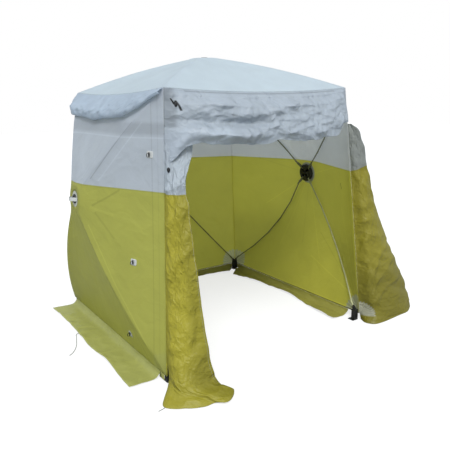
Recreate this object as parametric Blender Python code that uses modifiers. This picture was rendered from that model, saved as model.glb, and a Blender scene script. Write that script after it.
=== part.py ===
"""A square pop-up work tent with an open front, as used over a cable joint in a manhole or on a pavement.

Three walls and the roof each hold a moulded hub with four rods. Each rod is pinned to its hub and to a
moulded bracket at a corner of the tent. A wall or the roof is set up when its hub is pushed outwards past
the plane of the corner pins, and its bowed rods then stretch the cover. The tent faces -Y. Lengths are in
metres and +Z is up.
"""

import math

import bmesh
import bpy
from mathutils import Matrix, Vector
from mathutils.bvhtree import BVHTree

# Overall sizes
foot_side = 1.71
eaves_side = 1.466
eaves_height = 1.77
roof_rise = 0.23
hem_height = 0.05
wall_hub_height = 1.04
wall_pop = 0.276
eaves_sag = 0.027
# How far the cover stands out over the rods, at each panel's corners in turn from its lower left, seen
# from outside
ridge_bows = {
    "left": (0.05, 0.02, 0.012, 0.012),
    "right": (0.02, 0.06, 0.012, 0.012),
    "back": (0.012, 0.012, 0.012, 0.012),
    "roof": (0.02, 0.02, 0.02, 0.02),
}
# How far a rod, and the cover over it, hangs to the side of the straight line between its ends. The front
# lower rod of the left wall and the rear lower one of the right wall hang down; each is at the second
# corner of its panel.
sagging_rods = {("left", 1): 0.045, ("right", 1): 0.05}

# Cover cloth
cover_thickness = 0.001
cover_flat_radius = 0.1
sag_start = 0.13
sag_end_inset = 0.104
cover_hole_radius = 0.055
cover_edge_steps = 6
cover_ring_steps = 5
seat_gap = 0.0003

# Corner brackets
pivot_inset = 0.07
pivot_depth = 0.02
pin_radius = 0.0025
ear_radius = 0.009
ear_thickness = 0.004
ear_slot = 0.0068
ear_slot_back = 0.0105
arm_length = 0.045
core_clearance = 0.005
core_width = 0.038
low_core_height = 0.085
top_core_drop = 0.01
top_core_height = 0.058
core_bevel = 0.004
foot_width = 0.054
foot_height = 0.006

# Rods
rod_radius = 0.00525
rod_to_cover = 0.003
rod_steps = 6
rod_room_steps = 24
small_sides = 10
eye_radius = 0.008
eye_thickness = 0.006
eye_hole_radius = 0.0031
shank_height = 0.012
ferrule_radius = 0.007
ferrule_start = 0.016
ferrule_length = 0.036
paddle_width = 0.0148
paddle_height = 0.0152
paddle_tip = 0.008
slot_half_height = 0.0051
slot_spare = 0.002
paddle_web = 0.006

# Hubs
hub_radius = 0.074
hub_inner_depth = 0.01
hub_outer_depth = 0.0185
hub_plate = 0.005
hub_rim_round = 0.004
hub_sides = 20
hub_channel_width = 0.0155
hub_channel_start = 0.008
hub_pin_circle = 0.06
hub_notch_start = 0.05
hub_notch_step = 0.0004
hub_pin_bury = 0.002
patch_radius = 0.092
patch_thickness = 0.0015
cap_radius = 0.0325
cap_height = 0.009
cap_round = 0.004
strap_width = 0.025
strap_thickness = 0.0016
strap_foot = 0.044
strap_rise = 0.026
strap_clearance = 0.003

# Front header, drapes, hood and skirts
loose_thickness = 0.0012
header_left_drop = 0.32
header_right_drop = 0.24
header_mid_drop = 0.345
header_bulge = 0.17
header_fold_depth = 0.012
header_folds = 7
header_columns = 20
header_rows = 6
drape_columns = 13
drape_rows_down = 13
drape_ground_gap = 0.004
left_drape_folds = 2.5
left_drape_depths = (0.016, 0.034)
right_drape_folds = 1.5
right_drape_depths = (0.004, 0.02)
hood_bulge = 0.05
hood_clear = 0.007
hood_seat = 0.0009
hood_columns = 18
hood_rows_down = 5
# The hem of the hood: places along the roof's edge, -1 at the rear and 1 at the front, and how far
# below it the hem is
hood_hem = (
    (-1, 0.148),
    (-0.8, 0.158),
    (-0.4, 0.162),
    (-0.13, 0.172),
    (0, 0.146),
    (0.5, 0.134),
    (0.75, 0.09),
    (1, 0.034),
)
skirt_thickness = 0.0015
# Each skirt's width, and how far its edge wanders and in how many waves
skirt_edges = {"left": (0.2, 0.008, 2), "right": (0.125, 0.045, 1), "back": (0.09, 0.04, 2)}
skirt_lift = 0.012
skirt_lift_waves = 3
skirt_columns = 14
skirt_end_inset = 0.12
left_skirt_rear_inset = 0.05
left_skirt_front_inset = 0.088
skirt_mitre_gap = 0.03
skirt_rows_down = 6

# Cords and hooks
tie_cord_diameter = 0.0045
drape_cord_diameter = 0.004
hook_plate = (0.034, 0.024, 0.003)
hook_wire = 0.0032
hook_seat = 0.0006
# In the front's plane, in from its left corner edge and down from the eaves: both are found from the
# front left
buckle_spot = (0.084, 0.097)
door_hook_spot = (0.03, 0.465)
front_left = (0.555, 0.832, 0)
# Each hook's place on the left wall: in from its front edge, and up it from the ground
hook_spots = {
    "guy_hook_upper": (0.1, 1.387),
    "guy_hook_middle": (0.24, 0.715),
    "guy_hook_lower": (0.431, 0.175),
}

lean_slope = (foot_side - eaves_side) / 2 / eaves_height
lean = math.atan(lean_slope)
hub_stack = hub_outer_depth + seat_gap + patch_thickness + seat_gap + cover_thickness


def half_side(height):
    """Half the tent's outer side at a height."""
    return foot_side / 2 - lean_slope * height


class Panel:
    """A wall or the roof in its own axes: u along it, v up it and n outwards, with its hub at (0, hub_v)."""

    def __init__(self, name, origin, u, v, low, high, hub_v, rise):
        self.name = name
        self.origin = Vector(origin)
        self.u = Vector(u)
        self.v = Vector(v).normalized()
        self.n = self.u.cross(self.v)
        self.low_half, self.low_v = low
        self.high_half, self.high_v = high
        self.hub_v = hub_v
        self.rise = rise
        self.bows = ridge_bows[name]
        self.pin_level = rise - hub_stack

    def world(self, u, v, w):
        return self.origin + self.u * u + self.v * v + self.n * w

    def corners(self):
        return [
            Vector((-self.low_half, self.low_v)),
            Vector((self.low_half, self.low_v)),
            Vector((self.high_half, self.high_v)),
            Vector((-self.high_half, self.high_v)),
        ]

    def half_at(self, v):
        """Half the panel's width at v."""
        way = (v - self.low_v) / (self.high_v - self.low_v)
        return self.low_half + (self.high_half - self.low_half) * way

    def edge_point(self, side, share):
        """A point of the cover's edge as (u, v, w), with share from -1 to 1 along that side."""
        corners = self.corners()
        flat = corners[side].lerp(corners[(side + 1) % 4], (share + 1) / 2)
        dip = eaves_sag * (1 - share**2)
        if self.name == "roof":
            outwards = Vector(((0, -1), (1, 0), (0, 1), (-1, 0))[side])
            flat = flat + outwards * dip * lean_slope
            return flat.x, flat.y, -dip
        if side == 2:
            flat.y -= dip / math.cos(lean)
        return flat.x, flat.y, 0.0

    def sideways(self, radius, reach, side, share):
        """How far the cover is drawn to the side, at a radius from the hub's axis, by the rod below it."""
        at = side if share < 0 else (side + 1) % 4
        along = self.corners()[at] - Vector((0, self.hub_v))
        way = (radius - sag_start) / (reach - sag_end_inset - sag_start)
        way = min(1, max(0, way))
        down = Vector((along.y, -along.x)).normalized()
        return down * sagging_rods.get((self.name, at), 0) * 4 * way * (1 - way) * share**2

    def height(self, radius, reach, side, share, edge_level):
        """How far the cover stands out at a radius from the hub's axis, towards an edge at a reach from it."""
        if radius <= cover_flat_radius:
            return self.rise
        way = (radius - cover_flat_radius) / (reach - cover_flat_radius)
        bow = self.bows[side if share < 0 else (side + 1) % 4]
        return self.rise * (1 - way) + edge_level * way + bow * 4 * way * (1 - way) * share**2

    def cover_at(self, u, v):
        """How far the cover's outer face stands out at (u, v)."""
        start = self.world(u, v, self.rise * 2)
        found = self.surface.ray_cast(start, -self.n)
        return (found[0] - self.origin).dot(self.n)


def wall(name, outwards):
    """A wall panel that faces outwards, its corner edges set in from its neighbours' by their thickness."""
    outwards = Vector(outwards)
    across = Vector((0, 0, 1)).cross(outwards)
    up = Vector((0, 0, 1)) - outwards * lean_slope
    inset = cover_thickness + seat_gap
    top = eaves_height - inset
    return Panel(
        name,
        outwards * (foot_side / 2),
        across,
        up,
        (half_side(hem_height) - inset, hem_height / math.cos(lean)),
        (half_side(top) - inset, top / math.cos(lean)),
        wall_hub_height / math.cos(lean),
        wall_pop,
    )


panels = [
    wall("left", (-1, 0, 0)),
    wall("right", (1, 0, 0)),
    wall("back", (0, 1, 0)),
    Panel(
        "roof",
        (0, 0, eaves_height),
        (1, 0, 0),
        (0, 1, 0),
        (eaves_side / 2, -eaves_side / 2),
        (eaves_side / 2, eaves_side / 2),
        0.0,
        roof_rise,
    ),
]


class Strut:
    """One rod's place in its panel: from its pin in a corner bracket to its pin in the hub.

    The rod turns at a steady rate while its hub moves straight, so the hub's pin strays from the middle of
    the slot. At rest the rod leans out a little further than its pins do, which keeps that to a third less.
    """

    def __init__(self, panel, at):
        corner = panel.corners()[at]
        hub = Vector((0, panel.hub_v))
        towards = (hub - corner).normalized()
        foot = corner + towards * pivot_inset
        self.panel = panel
        self.at = at
        self.run = (hub - corner).length - pivot_inset - hub_pin_circle
        self.climb = panel.pin_level + pivot_depth
        self.length = math.hypot(self.run, self.climb)
        slope = self.climb / self.run
        self.angle = math.atan(slope) + slope**3 / 12
        self.reach = (hub - corner).length
        self.pivot = panel.world(foot.x, foot.y, -pivot_depth)
        self.towards = panel.u * towards.x + panel.v * towards.y
        self.pin_axis = panel.n.cross(self.towards)
        self.travel = self.length - self.run
        point = panel.world(corner.x, corner.y, 0)
        side = ("f" if point.y < 0 else "r") + ("l" if point.x < 0 else "r")
        self.corner = side + ("_top" if point.z > eaves_height / 2 else "_bottom")

    def matrix(self):
        """Its place: X along it to the hub's pin, Y along the pins and Z outwards."""
        along = self.towards * math.cos(self.angle) + self.panel.n * math.sin(self.angle)
        out = along.cross(self.pin_axis)
        turn = Matrix((along, self.pin_axis, out)).transposed().to_4x4()
        return Matrix.Translation(self.pivot) @ turn

    def hub_ferrule_end(self):
        return self.length - self.travel - slot_spare - slot_half_height - paddle_web

    def bowed_span(self):
        return ferrule_start + ferrule_length / 2, self.hub_ferrule_end() - ferrule_length / 2

    def bow(self):
        """How far the rod bows out before it bears on the cover's ridge."""
        start, stop = self.bowed_span()
        best = self.climb
        for step in range(1, rod_room_steps):
            share = step / rod_room_steps
            along = start + (stop - start) * share
            radius = self.reach - pivot_inset - along * math.cos(self.angle)
            level = self.panel.height(radius, self.reach, self.at, -1, 0)
            above = level - along * math.sin(self.angle) + pivot_depth
            room = above * math.cos(self.angle) - cover_thickness - rod_radius - rod_to_cover
            best = min(best, room / (4 * share * (1 - share)))
        return best


struts = [Strut(panel, at) for panel in panels for at in range(4)]

for old in list(bpy.data.objects):
    bpy.data.objects.remove(old)
scene = bpy.context.scene
parts = bpy.data.collections.new("fibre_splicing_tent")
scene.collection.children.link(parts)
cutters = bpy.data.collections.new("cutters")
cutters.hide_render = True
scene.collection.children.link(cutters)
base = bpy.data.objects.new("tent_base", None)
parts.objects.link(base)


def material(name, color, roughness, metallic=0.0):
    """A plain finish. The colour is linear."""
    made = bpy.data.materials.new(name)
    made.use_nodes = True
    shader = made.node_tree.nodes["Principled BSDF"]
    shader.inputs["Base Color"].default_value = (*color, 1)
    shader.inputs["Roughness"].default_value = roughness
    shader.inputs["Metallic"].default_value = metallic
    made.diffuse_color = (*color, 1)
    return made


yellow_cloth = material("coated_cloth_yellow", (0.45, 0.43, 0.05), 0.55)
white_cloth = material("coated_cloth_white", (0.62, 0.66, 0.7), 0.55)
black_nylon = material("moulded_nylon_black", (0.012, 0.012, 0.013), 0.45)
glass_rod = material("pultruded_rod_grey", (0.45, 0.46, 0.44), 0.4)
grey_patch = material("laminated_patch_grey", (0.4, 0.41, 0.38), 0.6)
white_webbing = material("polyester_webbing_white", (0.7, 0.7, 0.68), 0.75)
grey_cord = material("braided_cord_grey", (0.3, 0.31, 0.31), 0.8)


def mesh_from(bm, name):
    mesh = bpy.data.meshes.new(name)
    bm.to_mesh(mesh)
    bm.free()
    return mesh


def helper(mesh):
    """A shape that is only joined to a part or cut from it."""
    tool = bpy.data.objects.new(mesh.name, mesh)
    tool.display_type = "WIRE"
    tool.hide_render = True
    cutters.objects.link(tool)
    return tool


def box(low, high, place=None):
    bm = bmesh.new()
    bmesh.ops.create_cube(bm, size=1)
    size = Vector(high) - Vector(low)
    middle = (Vector(high) + Vector(low)) / 2
    bmesh.ops.transform(bm, matrix=Matrix.LocRotScale(middle, None, size), verts=bm.verts)
    if place:
        bmesh.ops.transform(bm, matrix=place, verts=bm.verts)
    return helper(mesh_from(bm, "box"))


def cylinder(radius, start, end, sides, place=None):
    """A cylinder between the middles of its two ends."""
    start = Vector(start)
    along = Vector(end) - start
    bm = bmesh.new()
    bmesh.ops.create_cone(
        bm, cap_ends=True, segments=sides, radius1=radius, radius2=radius, depth=along.length
    )
    turn = Vector((0, 0, 1)).rotation_difference(along).to_matrix().to_4x4()
    bmesh.ops.transform(bm, matrix=Matrix.Translation(start + along / 2) @ turn, verts=bm.verts)
    if place:
        bmesh.ops.transform(bm, matrix=place, verts=bm.verts)
    return helper(mesh_from(bm, "cylinder"))


def turned(profile, sides):
    """A solid turned about Z from a profile of (radius, height) that runs from its top to its bottom."""
    bm = bmesh.new()
    points = [bm.verts.new((radius, 0, height)) for radius, height in profile]
    for first, second in zip(points, points[1:]):
        bm.edges.new((first, second))
    tool = helper(mesh_from(bm, "turned"))
    screw = tool.modifiers.new("Turn", "SCREW")
    screw.steps = sides
    screw.render_steps = sides
    screw.use_merge_vertices = True
    screw.merge_threshold = 0.00001
    return helper_baked(tool)


def evaluated_mesh(tool):
    bpy.context.view_layer.update()
    graph = bpy.context.evaluated_depsgraph_get()
    return bpy.data.meshes.new_from_object(tool.evaluated_get(graph))


def helper_baked(tool):
    mesh = evaluated_mesh(tool)
    bpy.data.objects.remove(tool)
    return helper(mesh)


def combined(first, others, operation):
    """The first helper with each of the others joined to it or cut from it."""
    for other in others:
        step = first.modifiers.new(operation.title(), "BOOLEAN")
        step.operation = operation
        step.solver = "EXACT"
        step.object = other
    made = helper_baked(first)
    for other in others:
        bpy.data.objects.remove(other)
    return made


def tube(points, diameter, resolution):
    """A closed round tube along points."""
    curve = bpy.data.curves.new("tube", "CURVE")
    curve.dimensions = "3D"
    spline = curve.splines.new("POLY")
    spline.points.add(len(points) - 1)
    for place, point in zip(spline.points, points):
        place.co = (*point, 1)
    curve.bevel_depth = diameter / 2
    curve.bevel_resolution = resolution
    curve.use_fill_caps = True
    tool = bpy.data.objects.new("tube", curve)
    cutters.objects.link(tool)
    mesh = evaluated_mesh(tool)
    bpy.data.objects.remove(tool)
    bm = bmesh.new()
    bm.from_mesh(mesh)
    bmesh.ops.remove_doubles(bm, verts=bm.verts, dist=0.00001)
    bm.to_mesh(mesh)
    bm.free()
    return helper(mesh)


def part(name, mesh, finish, place=None, smooth=True):
    """A named piece of the tent."""
    made = bpy.data.objects.new(name, mesh)
    mesh.materials.clear()
    mesh.materials.append(finish)
    if smooth:
        mesh.shade_smooth()
        mesh.set_sharp_from_angle(angle=math.radians(35))
    if place:
        made.matrix_world = place
    made.parent = base
    parts.objects.link(made)
    return made


def part_from(name, tool, finish, place=None):
    mesh = tool.data
    bpy.data.objects.remove(tool)
    return part(name, mesh, finish, place)


def smooth_through(points, count):
    """Count points, evenly spread, on a Catmull-Rom curve through the points given."""
    points = [Vector(point) for point in points]
    ends = [points[0] * 2 - points[1], *points, points[-1] * 2 - points[-2]]
    found = []
    for step in range(count):
        at = step / (count - 1) * (len(points) - 1)
        span = min(int(at), len(points) - 2)
        t = at - span
        a, b, c, d = ends[span : span + 4]
        found.append(
            (b * 2 + (c - a) * t + (a * 2 - b * 5 + c * 4 - d) * t**2 + (b * 3 - a - c * 3 + d) * t**3) / 2
        )
    return found


def cloth(name, rows, finish, thickness, outer=-1):
    """A sheet lofted through rows of points, with its thickness added on the side away from its faces."""
    bm = bmesh.new()
    grid = [[bm.verts.new(point) for point in row] for row in rows]
    for upper, lower in zip(grid, grid[1:]):
        for column in range(len(upper) - 1):
            bm.faces.new((upper[column], lower[column], lower[column + 1], upper[column + 1]))
    bmesh.ops.triangulate(bm, faces=bm.faces)
    made = part(name, mesh_from(bm, name), finish)
    shell = made.modifiers.new("Thickness", "SOLIDIFY")
    shell.thickness = thickness
    shell.offset = outer
    return made


# Wall and roof covers: facets from the hub's flat to the four edges, bowed out over the rods, with a hole
# for the cap
def cover_mesh(panel):
    bm = bmesh.new()
    rings = []
    for ring in range(-1, cover_ring_steps + 1):
        verts = []
        for side in range(4):
            for step in range(cover_edge_steps):
                share = 2 * step / cover_edge_steps - 1
                edge_u, edge_v, edge_w = panel.edge_point(side, share)
                out = Vector((edge_u, edge_v - panel.hub_v))
                way = max(ring, 0) / cover_ring_steps
                radius = cover_flat_radius + (out.length - cover_flat_radius) * way
                if ring < 0:
                    radius = cover_hole_radius
                spot = out.normalized() * radius + panel.sideways(radius, out.length, side, share)
                level = panel.height(radius, out.length, side, share, edge_w)
                verts.append(bm.verts.new(panel.world(spot.x, spot.y + panel.hub_v, level)))
        rings.append(verts)
    for inner, outer in zip(rings, rings[1:]):
        for at in range(len(inner)):
            after = (at + 1) % len(inner)
            bm.faces.new((inner[at], outer[at], outer[after], inner[after]))
    bmesh.ops.triangulate(bm, faces=bm.faces)
    panel.surface = BVHTree.FromBMesh(bm)
    return mesh_from(bm, panel.name)


for panel in panels:
    node = "roof_canopy" if panel.name == "roof" else panel.name + "_wall"
    canopy = part(node, cover_mesh(panel), white_cloth if panel.name == "roof" else yellow_cloth)
    shell = canopy.modifiers.new("Thickness", "SOLIDIFY")
    shell.thickness = cover_thickness
    shell.offset = -1


# Corner brackets: a moulded core with one clevis for each rod that ends there, and a foot under the lower
# ones
def bracket(corner, ends):
    x_side = -1 if corner[1] == "l" else 1
    y_side = -1 if corner[0] == "f" else 1
    top = corner.endswith("top")
    high = eaves_height - top_core_drop if top else low_core_height
    low = high - top_core_height if top else 0.0
    outer = half_side(high) - core_clearance
    spans = [sorted((side * outer, side * (outer - core_width))) for side in (x_side, y_side)]
    core = box((spans[0][0], spans[1][0], low), (spans[0][1], spans[1][1], high))
    bevel = core.modifiers.new("Rounded", "BEVEL")
    bevel.width = core_bevel
    bevel.segments = 2
    core = helper_baked(core)
    width = ear_slot + 2 * ear_thickness
    joined = []
    slots = []
    pins = []
    for end in ends:
        turn = Matrix((end.towards, end.pin_axis, end.panel.n)).transposed().to_4x4()
        place = Matrix.Translation(end.pivot) @ turn
        joined.append(box((-arm_length, -width / 2, -ear_radius), (0, width / 2, ear_radius), place))
        joined.append(cylinder(ear_radius, (0, -width / 2, 0), (0, width / 2, 0), small_sides, place))
        half_slot = ear_slot / 2
        deep = ear_radius * 2
        slots.append(box((-ear_slot_back, -half_slot, -deep), (deep, half_slot, deep), place))
        pin_end = half_slot + ear_thickness * 0.9
        pins.append(cylinder(pin_radius, (0, -pin_end, 0), (0, pin_end, 0), small_sides, place))
    if not top:
        foot_outer = half_side(foot_height) - core_clearance - lean_slope * low_core_height
        edges = [sorted((side * foot_outer, side * (foot_outer - foot_width))) for side in (x_side, y_side)]
        joined.append(box((edges[0][0], edges[1][0], 0), (edges[0][1], edges[1][1], foot_height)))
    core = combined(core, joined, "UNION")
    core = combined(core, slots, "DIFFERENCE")
    core = combined(core, pins, "UNION")
    return part_from("corner_bracket_" + corner, core, black_nylon)


for corner in sorted({strut.corner for strut in struts}):
    bracket(corner, [strut for strut in struts if strut.corner == corner])


# Rods: a bowed rod between two ferrules, with a pin eye at the corner and a slotted eye at the hub
def rod_mesh(strut):
    end = strut.hub_ferrule_end()
    bow = strut.bow()
    sag = sagging_rods.get((strut.panel.name, strut.at), 0)
    start, stop = strut.bowed_span()
    points = []
    for step in range(rod_steps):
        share = step / (rod_steps - 1)
        curve = 4 * share * (1 - share)
        points.append((start + (stop - start) * share, sag * curve, bow * curve))
    body = tube(points, rod_radius * 2, 2)
    half_eye = eye_thickness / 2
    slot_back = strut.length - strut.travel - slot_spare
    slot_front = strut.length
    pieces = [
        cylinder(ferrule_radius, (ferrule_start, 0, 0), (ferrule_start + ferrule_length, 0, 0), small_sides),
        cylinder(ferrule_radius, (end - ferrule_length, 0, 0), (end, 0, 0), small_sides),
        box((0, -half_eye, -shank_height / 2), (ferrule_start * 1.5, half_eye, shank_height / 2)),
        cylinder(eye_radius, (0, -half_eye, 0), (0, half_eye, 0), small_sides),
        box(
            (end - ferrule_length / 4, -paddle_width / 2, -paddle_height / 2),
            (strut.length + paddle_tip, paddle_width / 2, paddle_height / 2),
        ),
    ]
    body = combined(body, pieces, "UNION")
    wide = paddle_width
    holes = [
        cylinder(eye_hole_radius, (0, -wide, 0), (0, wide, 0), small_sides),
        box((slot_back, -wide, -slot_half_height), (slot_front, wide, slot_half_height)),
        cylinder(slot_half_height, (slot_back, -wide, 0), (slot_back, wide, 0), small_sides),
        cylinder(slot_half_height, (slot_front, -wide, 0), (slot_front, wide, 0), small_sides),
    ]
    return combined(body, holes, "DIFFERENCE")


made_rods = {}
for strut in struts:
    own = strut.panel.name if (strut.panel.name, strut.at) in sagging_rods else "any"
    kind = (strut.panel.name == "roof", strut.corner.endswith("top"), strut.panel.bows[strut.at], own)
    if kind not in made_rods:
        tool = rod_mesh(strut)
        made_rods[kind] = tool.data
        bpy.data.objects.remove(tool)
    part("rod_" + strut.panel.name + "_" + strut.corner, made_rods[kind], glass_rod, strut.matrix())


# Hubs: a moulded disc with a channel and a pin for each rod, under a patch, an outer cap and a pull strap
def hub_place(panel):
    turn = Matrix((panel.u, panel.v, panel.n)).transposed().to_4x4()
    return Matrix.Translation(panel.world(0, panel.hub_v, panel.pin_level)) @ turn


def hub_mesh(panel):
    body = turned(
        [
            (0, hub_outer_depth),
            (hub_radius - hub_rim_round, hub_outer_depth),
            (hub_radius, hub_outer_depth - hub_rim_round),
            (hub_radius, -hub_inner_depth + hub_rim_round),
            (hub_radius - hub_rim_round, -hub_inner_depth),
            (0, -hub_inner_depth),
        ],
        hub_sides,
    )
    channels = []
    pins = []
    for strut in struts:
        if strut.panel is not panel:
            continue
        out = Vector((-strut.towards.dot(panel.u), -strut.towards.dot(panel.v), 0))
        turn = Matrix((out, Vector((0, 0, 1)).cross(out), Vector((0, 0, 1)))).transposed().to_4x4()
        half = hub_channel_width / 2
        far = hub_radius * 1.2
        deep = -hub_inner_depth * 2
        channels.append(
            box((hub_channel_start, -half, deep), (far, half, hub_outer_depth - hub_plate), turn)
        )
        wide = half + hub_notch_step
        notch_low = (hub_outer_depth - hub_plate) / 2
        channels.append(
            box((hub_notch_start, -wide, notch_low), (far * 1.1, wide, hub_outer_depth * 2), turn)
        )
        pins.append(
            cylinder(
                pin_radius,
                (hub_pin_circle, -half - hub_pin_bury, 0),
                (hub_pin_circle, half + hub_pin_bury, 0),
                small_sides,
                turn,
            )
        )
    body = combined(body, channels, "DIFFERENCE")
    return combined(body, pins, "UNION")


def strap_mesh():
    """A webbing loop over the cap: an outline across the strap, thickened and given the strap's width."""
    low = hub_outer_depth + patch_thickness + 3 * seat_gap + strap_thickness / 2
    over = low + cap_height
    half = [
        (strap_foot, low),
        (cap_radius + strap_clearance * 2, low),
        (cap_radius + strap_clearance, over - cap_round),
        (cap_radius * 0.7, over + strap_rise * 0.6),
        (cap_radius * 0.35, over + strap_rise),
    ]
    path = smooth_through(
        [Vector((x, 0, z)) for x, z in half] + [Vector((-x, 0, z)) for x, z in reversed(half)], 19
    )
    bm = bmesh.new()
    edge = Vector((0, strap_width / 2, 0))
    rows = [[bm.verts.new(point + edge * side) for side in (-1, 1)] for point in path]
    for first, second in zip(rows, rows[1:]):
        bm.faces.new((first[0], second[0], second[1], first[1]))
    bmesh.ops.recalc_face_normals(bm, faces=bm.faces)
    tool = helper(mesh_from(bm, "strap"))
    shell = tool.modifiers.new("Thickness", "SOLIDIFY")
    shell.thickness = strap_thickness
    shell.offset = 0
    return helper_baked(tool)


for panel in panels:
    place = hub_place(panel)
    part_from("hub_" + panel.name, hub_mesh(panel), black_nylon, place)
    low = hub_outer_depth + seat_gap
    high = low + patch_thickness
    patch = turned([(0, high), (patch_radius, high), (patch_radius, low), (0, low)], hub_sides)
    part_from("hub_patch_" + panel.name, patch, grey_patch, place)
    low = high + seat_gap
    high = low + cap_height
    cap = turned(
        [
            (0, high),
            (cap_radius - cap_round * 2, high),
            (cap_radius - cap_round / 2, high - cap_round / 2),
            (cap_radius, high - cap_round * 1.5),
            (cap_radius, low),
            (0, low),
        ],
        hub_sides,
    )
    part_from("hub_cap_" + panel.name, cap, black_nylon, place)
    if panel.name != "roof":
        part_from("pull_strap_" + panel.name, strap_mesh(), white_webbing, place)


# Front header: a slack valance that hangs from the roof's front edge and bulges over the drapes
def header_point(share, down):
    """A point of the header: share runs along the front edge and down from its top to its hem."""
    edge_level = panels[3].edge_point(0, share)[2]
    end_drop = header_left_drop if share < 0 else header_right_drop
    drop = end_drop + (header_mid_drop - end_drop) * (1 - share**4)
    drop += 0.5 * eaves_sag * (share**2 - 1)
    top = eaves_height + edge_level - cover_thickness - seat_gap
    height = top - drop * down
    inset = cover_thickness + seat_gap
    slack = 1 - share**6
    bulge = header_bulge * math.sin(down * math.pi / 2) * slack
    fold = header_fold_depth * math.sin(math.pi * header_folds * share + 2.2 * down) * down * slack
    return Vector((share * (half_side(height) - inset), -half_side(height) - bulge + fold, height))


rows = []
for row in range(header_rows):
    down = row / (header_rows - 1)
    rows.append([header_point(2 * column / header_columns - 1, down) for column in range(header_columns + 1)])
header = cloth("front_header", rows, white_cloth, loose_thickness)


# Drapes: the two halves of the front curtain, each sewn to a corner edge and spread on the ground
def drape_rows(side, sections, ground, folds, depths):
    """Rows from the top down. A section is (height, forward point, free edge), and side is -1 or 1."""
    rows = []
    highest = sections[0][0]
    for height, forward, free in sections:
        seam = half_side(height) - cover_thickness - seat_gap
        start = Vector((side * half_side(height), -seam - seat_gap * 2, height))
        middle = Vector((*forward, height))
        end = Vector((*free, height))
        line = smooth_through([start, middle, end], drape_columns)
        across = (end - start).normalized()
        out = Vector((across.y, -across.x, 0))
        depth = depths[1] + (depths[0] - depths[1]) * height / highest
        for at, point in enumerate(line):
            share = at / (drape_columns - 1)
            point += out * depth * math.sin(2 * math.pi * folds * share) * min(1, share * 4)
        rows.append(line)
    rows.append(smooth_through([Vector((x, y, drape_ground_gap)) for x, y in ground], drape_columns))
    smoothed = []
    for column in range(drape_columns):
        smoothed.append(smooth_through([row[column] for row in rows], drape_rows_down))
    return [list(row) for row in zip(*smoothed)]


left_sections = [
    (1.42, (-0.75, -0.85), (-0.664, -0.867)),
    (1.19, (-0.77, -0.87), (-0.698, -0.891)),
    (0.85, (-0.79, -0.92), (-0.695, -0.968)),
    (0.54, (-0.81, -0.96), (-0.675, -0.995)),
    (0.27, (-0.85, -1.02), (-0.664, -1.041)),
    (0.09, (-0.89, -1.09), (-0.64, -1.073)),
]
left_ground = [
    (-0.859, -0.862),
    (-0.93, -0.97),
    (-0.987, -1.077),
    (-0.89, -1.165),
    (-0.80, -1.205),
    (-0.73, -1.21),
    (-0.69, -1.25),
    (-0.625, -1.232),
    (-0.56, -1.15),
    (-0.59, -1.08),
]
right_sections = [
    (1.515, (0.755, -0.77), (0.762, -0.772)),
    (1.44, (0.79, -0.80), (0.84, -0.80)),
    (1.15, (0.84, -0.84), (0.94, -0.80)),
    (0.85, (0.88, -0.89), (1.04, -0.81)),
    (0.54, (0.92, -0.93), (1.18, -0.84)),
    (0.27, (0.95, -0.97), (1.32, -0.87)),
    (0.09, (0.98, -1.0), (1.38, -0.90)),
]
right_ground = [
    (0.859, -0.862),
    (0.835, -0.93),
    (0.87, -0.99),
    (0.955, -1.002),
    (1.06, -0.995),
    (1.17, -0.985),
    (1.28, -0.975),
    (1.385, -0.92),
]
rows = drape_rows(-1, left_sections, left_ground, left_drape_folds, left_drape_depths)
drape_left = cloth("drape_left", rows, yellow_cloth, loose_thickness)
rows = drape_rows(1, right_sections, right_ground, right_drape_folds, right_drape_depths)
cloth("drape_right", rows, yellow_cloth, loose_thickness, 1)


# Vent hood: a flap over the left wall's vent, sewn along the roof's edge and held out by its own stiff hem
def drop_at(share):
    for (before, upper), (after, lower) in zip(hood_hem, hood_hem[1:]):
        if share <= after:
            return upper + (lower - upper) * (share - before) / (after - before)


def hood_rows():
    left = panels[0]
    across = []
    for column in range(hood_columns + 1):
        share = 2 * column / hood_columns - 1
        edge = left.edge_point(2, -share)
        top = left.world(edge[0], edge[1], hood_seat)
        hem_v = edge[1] - drop_at(share)
        hem_u = edge[0]
        surface = left.cover_at(hem_u * 0.985, hem_v)
        hem = left.world(hem_u, hem_v, surface + hood_clear)
        swell = hood_bulge * (1 - max(share, 0) ** 2 * 0.6)
        line = []
        for row in range(hood_rows_down):
            down = row / (hood_rows_down - 1)
            middle = top.lerp(hem, down) + left.n * swell * math.sin(math.pi * down) ** 0.8
            line.append(middle)
        across.append(line)
    return [list(row) for row in zip(*across)]


cloth("vent_hood_left", hood_rows(), white_cloth, loose_thickness, 1)


# Skirts: strips below the three walls, spread outwards on the left and tucked in on the right and at the back
def skirt_rows(panel, outwards, ends, mitred=0):
    """Rows from the hem outwards or inwards. A mitred end narrows towards the corner that it shares."""
    rows = []
    width, wander, waves = skirt_edges[panel.name]
    top = hem_height - 2 * seat_gap
    section = [(0, top), (0.01, 0.028), (0.04, 0.006), (width * 0.57, 0.004), (width, 0.004)]
    for mark in smooth_through([Vector((away, height, 0)) for away, height in section], skirt_rows_down):
        away, height = mark.x, mark.y
        row = []
        spread = away / width
        for column in range(skirt_columns + 1):
            share = column / skirt_columns
            along = ends[0] + (ends[1] - ends[0]) * share
            lift = skirt_lift * spread * (0.5 + 0.5 * math.sin(2 * math.pi * skirt_lift_waves * share))
            widest = width + wander * math.cos(2 * math.pi * waves * share)
            if along * mitred > 0:
                widest = min(widest, full - along * mitred - skirt_mitre_gap)
            reach = spread * widest
            flat = panel.n.copy()
            flat.z = 0
            flat.normalize()
            point = panel.u * along + flat * (half_side(height) - cover_thickness / 2 + outwards * reach)
            row.append(Vector((point.x, point.y, height + lift)))
        rows.append(row)
    return rows


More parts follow.
